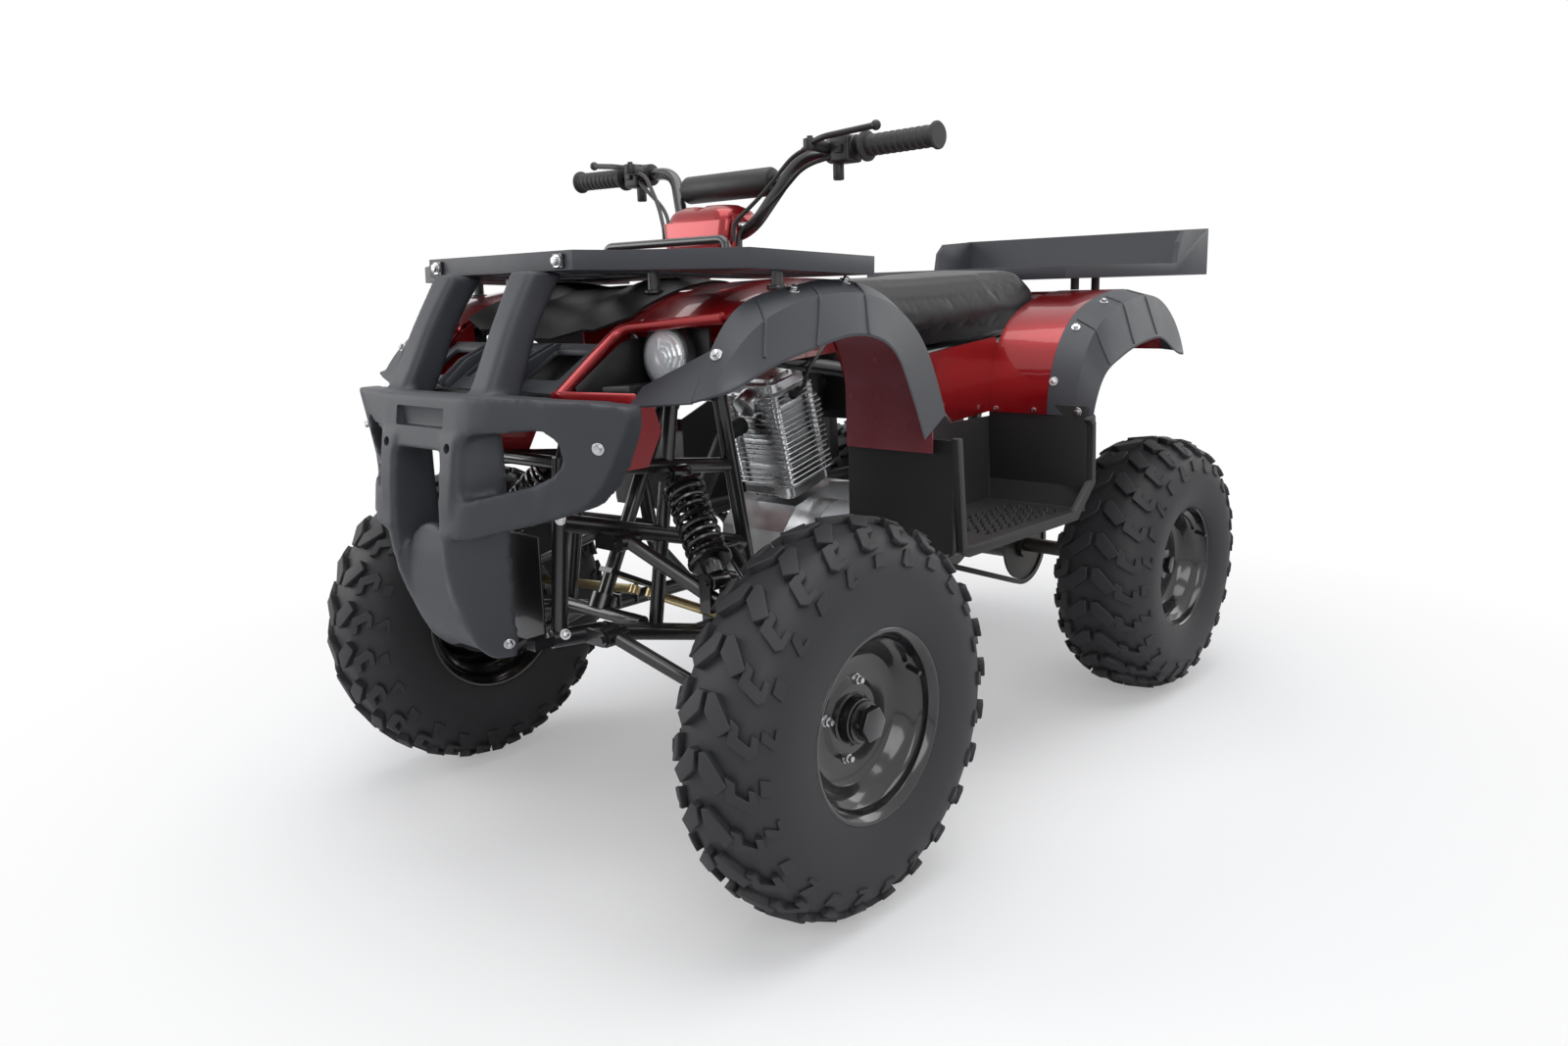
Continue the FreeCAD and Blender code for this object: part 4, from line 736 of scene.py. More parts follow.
def loft(rings):
    """A closed form through rings of equal corner counts, corners as for ahead."""
    rings = [[ahead(*corner) for corner in ring] for ring in rings]
    piece = polygon(rings[0])
    edit(piece)
    for here, ring in zip(rings, rings[1:]):
        bpy.ops.object.mode_set(mode="EDIT")
        bpy.ops.mesh.extrude_region_move(TRANSFORM_OT_translate={"value": (0, 0, 0)})
        leave_edit()
        for vertex in piece.data.vertices:
            if vertex.select:
                nearest = min(range(len(here)), key=lambda index: (here[index] - vertex.co).length)
                vertex.co = ring[nearest]
    leave_edit()
    make_solid(piece)
    return piece


def smooth_loft(rings, count):
    """A form that flows through its rings."""
    tracks = [flowing(track, count) for track in zip(*rings)]
    return loft([list(ring) for ring in zip(*tracks)])


def between(rings, bend):
    """A form between two outlines, its long edges rounded if there is a bend."""
    return loft([rounded(ring, bend) for ring in rings] if bend else rings)


def side_form(outline, x_from, x_to, bend=0.0):
    """A side outline of (y, z) pairs, pushed across the bike."""
    return between([[(x, y, z) for y, z in outline] for x in (x_from, x_to)], bend)


def front_form(outline, y_from, y_to, bend=0.0):
    """A front outline of (x, z) pairs, pushed along the bike."""
    return between([[(x, y, z) for x, z in outline] for y in (y_from, y_to)], bend)


def level_form(outline, z_from, z_to, bend=0.0):
    """A plan outline of (x, y) pairs, pushed up."""
    return between([[(x, y, z) for x, y in outline] for z in (z_from, z_to)], bend)


def carve(piece, operation, *tools):
    """Cuts a piece with others, joins them to it, or keeps what they share; the tools go."""
    for tool in tools:
        modify(piece, "BOOLEAN", operation=operation, object=tool, solver="EXACT")
        drop(tool)
    return piece


def both_sides(outline):
    """An outline of one side's corners with its mirror image added."""
    return list(outline) + [(-corner[0], *corner[1:]) for corner in outline[::-1]]


def pipe(corners, radius, bend, sides=20):
    """A round bar bent along corners given as for ahead."""
    corners = [Vector(corner) for corner in corners]
    points = [corners[0]]
    for before, corner, after in zip(corners, corners[1:], corners[2:]):
        points += bent(before, corner, after, bend, 10)
    points.append(corners[-1])
    return smooth(tube([ahead(*point) for point in points], radius * MM, sides), 50)


def skin(curves, wall, along=40, across=6, flows=True):
    """A sheet through (x, side curve) pairs, given a wall below it."""
    rows = [[(x, *pair) for pair in flowing([(y, z) for y, z in curve], along)] for x, curve in curves]
    if flows:
        columns = [flowing(column, across) for column in zip(*rows)]
    else:
        columns = [[Vector(place) for place in column] for column in zip(*rows)]
        across = len(curves) - 1
    clear_selection()
    bpy.ops.mesh.primitive_grid_add(x_subdivisions=across, y_subdivisions=along, size=2)
    piece = bpy.context.object
    for vertex in piece.data.vertices:
        column = columns[round((vertex.co.y + 1) / 2 * along)]
        vertex.co = ahead(*column[round((vertex.co.x + 1) / 2 * across)])
    if sum(face.normal.z for face in piece.data.polygons) < 0:
        piece.data.flip_normals()
    modify(piece, "SOLIDIFY", thickness=wall * MM, offset=-1)
    return piece


# Tyres

# Shares of the half width and of the body's radius, from the middle of the tread to the bead
BODY_SECTION = [(0, 1.0), (0.30, 0.995), (0.52, 0.978), (0.72, 0.945), (0.86, 0.895), (0.95, 0.83),
                (1.0, 0.75), (1.0, 0.67), (0.965, 0.59), (0.90, 0.525), (0.84, 0.492)]

TYRE_WALL = 9 * MM
SIDE_LUG_ROOM = 3 * MM
# Lug outlines as (across, along) in millimetres, drawn for a tyre of this half width
DRAWN_HALF_WIDTH = 84 * MM
LUG_FOOT = 5 * MM
CENTRE_LUGS = [
    [(-44, 4), (-30, -10), (-4, 16), (-4, 40), (-14, 42)],
    [(4, 40), (4, 16), (30, -10), (44, 4), (14, 42)],
]
HOOK = [(40, -16), (66, -34), (74, -26), (74, -4), (66, 0), (66, -16), (52, -6), (52, 8), (40, 16)]
SIDE_BLOCK = [(80, -14), (97, -22), (97, 4), (80, 10)]
SIDE_HOOK = [(78, -8), (98, -22), (103, -16), (103, 8), (97, 10), (97, -6), (84, 4), (78, 6)]


def carcass_profile(half_width, radius, lug):
    """Outer section of the tyre body, under the lugs, from the middle to the bead."""
    body = radius - lug
    return [(across * (half_width - SIDE_LUG_ROOM), share * body) for across, share in BODY_SECTION]


def along_profile(profile, distance):
    """Place (x, radius) and outward normal at a distance along the section from its middle."""
    side = 1 if distance >= 0 else -1
    left = abs(distance)
    for (x0, r0), (x1, r1) in zip(profile, profile[1:]):
        run = math.hypot(x1 - x0, r1 - r0)
        if left <= run or (x1, r1) == profile[-1]:
            share = min(1.0, left / run)
            normal = (-(r1 - r0) / run, (x1 - x0) / run)
            return ((x0 + (x1 - x0) * share) * side, r0 + (r1 - r0) * share,
                    normal[0] * side, normal[1])
        left -= run


def smooth_section(points, count):
    """The section resampled along a rounded line through its points."""
    found = []
    last = len(points) - 1
    for index in range(count + 1):
        place = index / count * last
        step = min(int(place), last - 1)
        share = place - step
        before = points[max(step - 1, 0)] if step else (-points[1][0], points[1][1])
        here, after = points[step], points[step + 1]
        beyond = points[min(step + 2, last)]
        found.append(tuple(flow(*corners, share) for corners in zip(before, here, after, beyond)))
    return found


def wrapped(piece, profile, turn, stretch):
    """Wraps a flat lug, in millimetres across and along the tread, round the tyre."""
    radius = profile[0][1]
    for vertex in piece.data.vertices:
        across, along, lift = vertex.co
        x, r, normal_x, normal_r = along_profile(profile, across * stretch)
        angle = turn + along / radius
        reach = r + lift * normal_r
        vertex.co = (x + lift * normal_x, reach * math.sin(angle), reach * math.cos(angle))
    return piece


def lug(outline, height, draft):
    """A flat tread block whose foot is sunk below the surface, its edges rounded."""
    piece = plate([(a * MM, b * MM) for a, b in outline], height + LUG_FOOT, draft)
    piece.data.transform(Matrix.Translation((0, 0, -LUG_FOOT)))
    soften(piece, 1.1, 1, 40)
    return piece


def lugs(outlines, height, draft, shift):
    """Blocks of some outlines, and of their mirror images shifted along the tread."""
    mirrors = [[(-a, b + shift) for a, b in outline][::-1] for outline in outlines]
    return [lug(outline, height, draft) for outline in outlines + mirrors]


def tyre(name, body, node, side_x, axle, half_width, radius):
    """A balloon tyre with its rows of lugs."""
    sizes = bpy.context.scene.quad_tyres
    height = sizes.lug_height
    profile = smooth_section(carcass_profile(half_width, radius, height), 44)
    profile = [(x, max(r, BEAD_RADIUS)) for x, r in profile]
    outer = [(-x, r) for x, r in profile[:0:-1]] + profile
    inner = [(x * 0.86, max(BEAD_RADIUS, r - TYRE_WALL)) for x, r in outer[::-1]]
    carcass = spun(outer + inner, 112)
    pitch = math.tau / sizes.pitches
    row = pitch * (radius - height) / MM / 2
    stretch = half_width / DRAWN_HALF_WIDTH
    centre = lugs(CENTRE_LUGS, height, 1.5 * MM, row)
    hooks = lugs([HOOK], height * 0.8, 1.2 * MM, row / 2)
    blocks = lugs([SIDE_BLOCK], 4.5 * MM, 0.8 * MM, row / 2)
    curls = lugs([SIDE_HOOK], 4 * MM, 0.8 * MM, row / 2)
    pieces = [carcass]
    for index in range(sizes.pitches):
        turn = index * pitch
        for master in centre + hooks + blocks:
            pieces.append(wrapped(copy_of(master, "lug"), profile, turn, stretch))
        for master in hooks + curls:
            pieces.append(wrapped(copy_of(master, "lug"), profile, turn + pitch / 2, stretch))
    for master in centre + hooks + blocks + curls:
        drop(master)
    piece = join(pieces, name)
    if side_x < 0:
        piece.data.transform(Matrix.Rotation(math.pi, 4, "Z"))
    piece.data.transform(Matrix.Translation((side_x, axle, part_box(node)[0].z + radius)))
    smooth(piece, 38)
    return dress(piece, name, body, "tyre_rubber", node)


class QUAD_OT_tyres(bpy.types.Operator):
    """Four lugged tyres in place of the plain ones"""
    bl_idname = "quad.tyres"
    bl_label = "Tyres"

    def execute(self, context):
        sizes = context.scene.quad_tyres
        for side, turn in (("left", 1), ("right", -1)):
            tyre(f"tyre_front_{side}", f"front_wheel_{side}", f"front_tyre_{side}",
                 turn * FRONT_TRACK * MM, FRONT_AXLE, sizes.front_width / 2, sizes.front_radius)
            tyre(f"tyre_rear_{side}", "rear_wheels", f"rear_tyre_{side}",
                 turn * REAR_TRACK * MM, REAR_AXLE, sizes.rear_width / 2, sizes.rear_radius)
        return {"FINISHED"}


# Wheels

# Flange and bead seat of a rim as (along the axle, radius), from the outer edge inwards
RIM_EDGE = [(66, 142), (70, 142.5), (72, 140), (71, 136), (66, 131), (62, 127.5), (52, 126), (47, 123),
            (43, 117), (39, 111), (34, 107)]
EDGE_FROM = 70
NUT_CIRCLE = 57
VALVE_ANGLE = math.radians(-58)


def wheel(name, body, node, side, axle, half, dish, cap):
    """A deep pressed wheel with its hub, nuts and valve."""
    level = (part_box(node)[0].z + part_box(node)[1].z) / 2
    track = FRONT_TRACK if cap else REAR_TRACK
    lip = [(x + half - EDGE_FROM, r) for x, r in RIM_EDGE]
    well = [(x - 4 if x > 60 else x - 2, r - 4) for x, r in lip]
    far_lip = [(-x, r) for x, r in lip[::-1]]
    far_well = [(-x, r) for x, r in well]
    bowl = [(dish + 14, 103), (dish + 6, 98), (dish + 1.5, 90), (dish, 80), (dish, 60), (dish + 5, 52),
            (dish + 5, 30)]
    back = [(dish - 1, 30), (dish - 1, 50), (dish - 5, 62), (dish - 5, 82), (dish + 2, 98),
            (dish + 8, 103)]
    section = lip + bowl + back + far_well + far_lip
    shell = soften(turned(section, 96), 0.8, 2, 25)
    parts = [shell]
    hub = [(-24, 0), (-24, 34), (dish - 6, 44), (dish + 4, 44), (dish + 6, 36), (dish + 20, 33),
           (dish + 22, 30), (dish + 22, 0)]
    parts.append(turned(hub, 48))
    face = dish * MM + 20 * MM
    if cap:
        nose = soften(bar((face, 0, 0), (60 * MM, 0, 0), 27 * MM, 6), 2.2, 3)
        ring = soften(bar((face, 0, 0), (dish * MM + 26 * MM, 0, 0), 31 * MM, 40), 1.2, 2)
        parts += [nose, ring]
    else:
        nut = soften(bar((face, 0, 0), (dish * MM + 34 * MM, 0, 0), 20 * MM, 6), 1.4, 2)
        parts.append(nut)
    stem = bar(((half - 22) * MM, 0, 112 * MM), ((half + 4) * MM, 0, 104 * MM), 4.6 * MM, 16, 3.6 * MM)
    parts.append(stem)
    turn = Matrix.Rotation(0 if side > 0 else math.pi, 4, "Z")
    spin = Matrix.Rotation(VALVE_ANGLE, 4, "X")
    mount = Matrix.Translation((side * track * MM, axle, level)) @ turn @ spin
    piece = join(parts, name)
    piece.data.transform(mount)
    smooth(piece, 35)
    dress(piece, name, body, "wheel_black", node)
    master = bolt_master(7.5, 9)
    stud = bar((0, 0, 0), (0, 0, 13 * MM), 4.2 * MM, 14)
    master = join([master, stud], "nut")
    seats = []
    for index in range(4):
        angle = math.radians(90 * index + 45)
        place = ((dish + 0.4) * MM, NUT_CIRCLE * MM * math.cos(angle), NUT_CIRCLE * MM * math.sin(angle))
        seats.append((place, (1, 0, 0)))
    nuts = scatter(master, seats, name + "_nuts")
    nuts.data.transform(mount)
    dress(nuts, name + "_nuts", body, "steel")


class QUAD_OT_wheels(bpy.types.Operator):
    """Four black pressed wheels with their nuts"""
    bl_idname = "quad.wheels"
    bl_label = "Wheels"

    def execute(self, context):
        for name, side in (("left", 1), ("right", -1)):
            wheel(f"wheel_front_{name}", f"front_wheel_{name}", f"front_rim_{name}", side,
                  FRONT_AXLE, 70, 15, True)
            wheel(f"wheel_rear_{name}", "rear_wheels", f"rear_rim_{name}", side, REAR_AXLE, 90, 24, False)
        return {"FINISHED"}


# Seat

def padded_form(piece, swell_mm, voxel_mm=5.0, pressure=3.5, frames=18):
    """Puffs a closed form a little with cloth, so that it looks stuffed."""
    modify(piece, "REMESH", mode="VOXEL", voxel_size=voxel_mm * MM)
    modify(piece, "SMOOTH", factor=0.5, iterations=8)
    start = [vertex.co.copy() for vertex in piece.data.vertices]
    take(piece)
    cloth = piece.modifiers.new("cloth", "CLOTH")
    cloth.settings.use_pressure = True
    cloth.settings.uniform_pressure_force = pressure
    cloth.settings.effector_weights.gravity = 0
    cloth.settings.tension_stiffness = 25
    cloth.settings.compression_stiffness = 25
    scene = bpy.context.scene
    for number in range(1, frames + 1):
        scene.frame_set(number)
    bpy.ops.object.modifier_apply(modifier=cloth.name)
    scene.frame_set(1)
    limit = swell_mm * MM
    for vertex, place in zip(piece.data.vertices, start):
        step = vertex.co - place
        if step.length > limit:
            vertex.co = place + step.normalized() * limit
    return piece


class QUAD_OT_seat(bpy.types.Operator):
    """Long padded seat cushion"""
    bl_idname = "quad.seat"
    bl_label = "Seat"

    def execute(self, context):
        piece = cad_copy("seat")
        padded_form(piece, 7)
        modify(piece, "SUBSURF", levels=1, render_levels=1)
        dress(piece, "seat_cushion", "chassis", "seat_vinyl", "seat", angle=180)
        return {"FINISHED"}


# Shock absorbers

def coil(start, end, radius, wire, turns, steps=14):
    """A coil spring between two places."""
    start, way = Vector(start), Vector(end) - Vector(start)
    turn = turn_to(way).to_matrix()
    points = []
    for index in range(turns * steps + 1):
        angle = math.tau * index / steps
        across = Vector((radius * math.cos(angle), radius * math.sin(angle), 0))
        points.append(start + way * index / (turns * steps) + turn @ across)
    return hose(points, wire, 8, 2)


def coil_over(top, foot, cross):
    """A shock absorber with eyes, damper, spring seats and a coil spring."""
    top, foot, cross = Vector(top), Vector(foot), Vector(cross)
    along = (foot - top).normalized()
    length = (foot - top).length / MM

    def at(distance):
        return top + along * distance * MM

    parts = []
    for place in (top, foot):
        parts.append(soften(bar(place - cross * 17 * MM, place + cross * 17 * MM, 13 * MM, 28), 1.6, 2))
    shaft = bar(at(8), at(length * 0.6), 7 * MM, 20)
    body = soften(bar(at(length * 0.5), at(length - 8), 17.5 * MM, 32, 16 * MM), 1.6, 2)
    parts += [shaft, body]
    for distance, way in ((32, 1), (length - 34, -1)):
        seat = [(-3, 8), (-3, 31), (0, 34.5), (4, 34.5), (5, 33), (5, 24), (9, 22), (9, 8)]
        parts.append(turned(seat, 40, along * way, at(distance)))
    spring = coil(at(37), at(length - 39), 28.5 * MM, 4.6 * MM, 8)
    return smooth(join(parts + [spring], "coil_over"), 35)


class QUAD_OT_shocks(bpy.types.Operator):
    """Front and rear shock absorbers with open coil springs"""
    bl_idname = "quad.shocks"
    bl_label = "Shock absorbers"

    def execute(self, context):
        front = coil_over(ahead(150, -5, 619), ahead(285, -60, 478), (0, 1, 0))
        dress_pair(front, "shocks_front", "chassis", "shock_black", "front_shocks")
        rear = coil_over(astern(0, -280, 640), astern(0, -150, 335), (1, 0, 0))
        dress(rear, "shock_rear", "chassis", "shock_black", "rear_shock")
        return {"FINISHED"}


# Front guard

def guard_rings(bend):
    """The bent band in plan at two heights, which the guard's face is cut from."""
    rings = []
    for level, middle, wing_x, wing_y, end_x, end_y in ((768, -350, 264, -306, 352, -256),
                                                        (552, -384, 260, -268, 330, -226)):
        half = [(110, middle, level), (wing_x, wing_y, level), (end_x, end_y, level),
                (end_x - 18, end_y + 30, level), (wing_x - 12, wing_y + 34, level),
                (104, middle + 42, level)]
        rings.append(rounded(both_sides(half), bend))
    return rings


STRUT = [(712, -361, 60, 96, 124, -302), (697, -365, 60, 96, 126, -300), (637, -374, 60, 94, 127, -300),
         (563, -378, 59, 78, 119, -297), (500, -370, 57, 72, 107, -290), (440, -349, 55, 68, 96, -284),
         (400, -330, 53, 64, 86, -274), (374, -302, 51, 60, 78, -274)]


def guard_strut(inset):
    """Lower upright of the guard; with an inset, the hollow in its back."""
    rings = []
    for level, fore, near, far, back_x, back in STRUT:
        if inset:
            rings.append([(near + inset, fore + inset + 2, level), (far - 3, fore + inset + 2, level),
                          (back_x - 6, back + 12, level), (near + inset, back + 12, level)])
        else:
            rings.append([(near, fore, level), (far, fore, level), (back_x, back, level),
                          (near, back, level)])
    return smooth_loft(rings[:-1] if inset else rings, 24)


# Along the bike, from before the guard to behind it
GUARD_DEPTH = (-440, -180)


class QUAD_OT_guard(bpy.types.Operator):
    """Moulded front guard with windows, struts, a tongue and two uprights to the rack"""
    bl_idname = "quad.guard"
    bl_label = "Front guard"

    def execute(self, context):
        half = [(60, 690), (60, 572), (112, 572), (200, 596), (262, 618), (292, 652), (346, 754),
                (288, 762), (150, 768)]
        face = front_form(both_sides(half), *GUARD_DEPTH, 12)
        carve(face, "INTERSECT", loft(guard_rings(30)))
        window = front_form([(102, 714), (226, 724), (250, 700), (238, 668), (196, 648), (140, 633),
                             (102, 622)], *GUARD_DEPTH, 24)
        carve(face, "DIFFERENCE", *pair_of(window))
        upright = smooth_loft([
            rounded([(84, -346, 738), (140, -346, 738), (140, -284, 738), (84, -284, 738)], 12),
            rounded([(80, -312, 800), (132, -312, 800), (132, -254, 800), (80, -254, 800)], 12),
            rounded([(78, -280, 862), (128, -280, 862), (128, -224, 862), (78, -224, 862)], 12),
            rounded([(72, -238, 932), (126, -238, 932), (126, -180, 929), (72, -180, 929)], 10),
        ], 14)
        tongue = side_form([(-352, 590), (-362, 540), (-364, 488), (-352, 440), (-330, 402), (-300, 380),
                            (-280, 380), (-292, 404), (-322, 430), (-344, 470), (-352, 510), (-350, 545),
                            (-340, 590)], -60, 60, 14)
        arch = front_form([(-60, 370), (-60, 530), (-42, 572), (0, 586), (42, 572), (60, 530), (60, 370)],
                          -420, -240, 22)
        carve(tongue, "INTERSECT", arch)
        piece = join([face, tongue] + pair_of(guard_strut(0)) + pair_of(upright), "guard")
        modify(piece, "REMESH", mode="VOXEL", voxel_size=4.5 * MM)
        modify(piece, "SMOOTH", factor=0.5, iterations=6)
        recess = soften(box((-62, -400, 722), (62, -345, 750)), 3, 2)
        hole = bar(ahead(80, -420, 697), ahead(80, -330, 697), 7 * MM, 24)
        carve(piece, "DIFFERENCE", recess, *pair_of(hole), *pair_of(guard_strut(5)))
        dress(piece, "guard", "chassis", "trim_dark", "bumper", look="guard_grain", angle=42)
        return {"FINISHED"}


# Racks

RACK_LEVEL = 949
RACK_SLOPE = 2.55
RACK_THICKNESS = 27
RACK_SLOTS = [(8, 104, -178, -146), (8, 104, -122, -84), (8, 104, -55, -15), (160, 240, -112, -8),
              (160, 240, 8, 120), (280, 360, -30, 140)]


def rack_underside(y):
    """Height of the front rack's lower face at a place along the bike."""
    tilt = math.radians(RACK_SLOPE)
    return RACK_LEVEL - y * math.tan(tilt) - RACK_THICKNESS / math.cos(tilt)


class QUAD_OT_racks(bpy.types.Operator):
    """Front rack with its hoop and posts, and the rear rack"""
    bl_idname = "quad.racks"
    bl_label = "Racks"

    def execute(self, context):
        half = [(181, -208), (222, -163), (400, -86), (400, 181), (158, 181), (128, 108)]
        deck = level_form(both_sides(half), -RACK_THICKNESS, 0)
        for x_low, x_high, y_low, y_high in RACK_SLOTS:
            slot = soften(box((x_low, y_low, -60), (x_high, y_high, 60)), 5, 2, 60)
            carve(deck, "DIFFERENCE", *pair_of(slot))
        soften(deck, 2.6, 2, 25)
        tilt = (Matrix.Translation(ahead(0, 0, RACK_LEVEL))
                @ Matrix.Rotation(math.radians(-RACK_SLOPE), 4, "X")
                @ Matrix.Translation(-ahead(0, 0, 0)))
        deck.data.transform(tilt)
        dress(deck, "rack_front_deck", "chassis", "trim_dark", "front_rack", angle=35)
        hoop = pipe([(149, 122, -12), (149, 122, 34), (-149, 122, 34), (-149, 122, -12)], 7, 18)
        hoop.data.transform(tilt)
        posts = []
        for x, y, foot in ((178, -60, 896), (368, 0, 897)):
            posts += pair_of(bar(ahead(x, y, foot), ahead(x, y, rack_underside(y) + 4), 9 * MM, 28))
            collar = soften(bar(ahead(x, y, foot), ahead(x, y, foot + 6), 15 * MM, 28), 1.4, 2)
            posts += pair_of(collar)
        steel = join([hoop] + posts, "rack_front_bars")
        dress(steel, "rack_front_bars", "chassis", "frame_black", angle=40)
        rear = moulded("rear_rack", 2.4)
        dress(rear, "rack_rear", "chassis", "trim_dark", "rear_rack")
        return {"FINISHED"}


# Front body and nose

# Side curves of a fender at its outer and inner edge; it rises between them
CREST = [(-117, 864), (-60, 886), (0, 899), (94, 909), (170, 902), (240, 878), (300, 830), (338, 764),
         (362, 694)]
INNER = [(-148, 853), (-60, 888), (0, 901), (94, 911), (170, 904), (240, 880), (300, 832), (338, 766),
         (362, 696)]
CROWN_RISE = 2


class QUAD_OT_front_body(bpy.types.Operator):
    """Red front fenders with a thin rim round each headlamp recess, black hood and grey nose"""
    bl_idname = "quad.front_body"
    bl_label = "Front body"

    def execute(self, context):
        crown = [(y, z + CROWN_RISE) for y, z in [(-134, 862)] + INNER[1:]]
        fender = skin([(205, INNER), (300, crown), (379.6, CREST)], 4)
        smooth(fender, 60)
        rim = pipe([(200, -262, 763), (200, -148, 849), (375, -117, 862)], 8, 24)
        low = loft([rounded([(196, -270, 748), (212, -260, 748), (212, -260, 771), (196, -270, 771)], 4),
                    rounded([(258, -192, 744), (268, -182, 744), (268, -182, 764), (258, -192, 764)], 4)])
        smooth(low, 50)
        web = side_form([(-256, 764), (-148, 846), (-128, 858), (-128, 800), (-150, 796), (-238, 756)],
                        195, 199)
        bridge = soften(box((-206, -150, 800), (206, -128, 812)), 2, 2)
        sides = pair_of(fender) + pair_of(rim) + pair_of(low) + pair_of(web)
        red = join(sides + [bridge], "fenders_front")
        dress(red, "fenders_front", "chassis", "candy_red", "front_body")
        edge = [(-132, 866), (-92, 884), (-20, 905), (50, 913), (100, 902.4)]
        shoulder = [(-150, 848), (-95, 892), (-20, 917), (46, 917), (100, 905)]
        valley = [(-166, 836), (-100, 876), (-20, 903), (52, 909), (100, 903)]
        middle = [(-170, 836), (-100, 876), (-20, 903), (52, 911), (100, 904)]
        hood = skin([(-204, edge), (-144, shoulder), (-118, shoulder), (-64, valley), (0, middle),
                     (64, valley), (118, shoulder), (144, shoulder), (204, edge)], 4, 16, flows=False)
        dress(hood, "hood_cover", "chassis", "hood_black", "hood", angle=14)
        self.nose()
        return {"FINISHED"}

    def nose(self):
        """Slotted grey panel with two upright ribs, and a black sheet behind it as painted shade."""
        half = 189
        panel = loft([
            [(-half, -262, 767), (half, -262, 767), (half, -256, 763), (-half, -256, 763)],
            [(-half, -164, 829), (half, -164, 829), (half, -158, 825), (-half, -158, 825)],
        ])
        for x_low, x_high in ((16, 62), (92, 168)):
            slot = soften(box((x_low, -237, 700), (x_high, -178, 900)), 5, 2, 60)
            carve(panel, "DIFFERENCE", *pair_of(slot))
        soften(panel, 1.2, 2, 25)
        ribs = []
        for x in (66, 84):
            rib = side_form([(-258, 767), (-164, 826), (-172, 830), (-227, 807), (-270, 773)],
                            x, x + 6, 4)
            soften(rib, 1.2, 2)
            ribs += pair_of(rib)
        piece = join([panel] + ribs, "nose_panel")
        dress(piece, "nose_panel", "chassis", "nose_grey", "grille", angle=35)
        # Black sheet behind the slots: painted shade that keeps them dark.
        back = loft([
            [(-186, -236, 745), (186, -236, 745), (186, -232, 742), (-186, -232, 742)],
            [(-186, -150, 812), (186, -150, 812), (186, -146, 809), (-186, -146, 809)],
        ])
        soften(back, 0.8, 1)
        dress(back, "nose_backing", "chassis", "well_black", look="black_plastic")


# Controls

BAR_END = Vector((430, 300, 1118))
BAR_KNEE = Vector((156, 302, 1114))
BAR_CLAMP = Vector((78, 248, 989))
INWARD = (BAR_KNEE - BAR_END).normalized()
COVER_HALF = 82
PAD_SECTION = [(106, 7.4), (106, 18), (104, 22), (100, 24), (-100, 24), (-104, 22), (-106, 18),
               (-106, 7.4)]


def level_ring(half, y_front, y_back, z, bend):
    """A rectangle with round corners at one height."""
    corners = [(-half, y_front, z), (half, y_front, z), (half, y_back, z), (-half, y_back, z)]
    return rounded(corners, bend, 5)


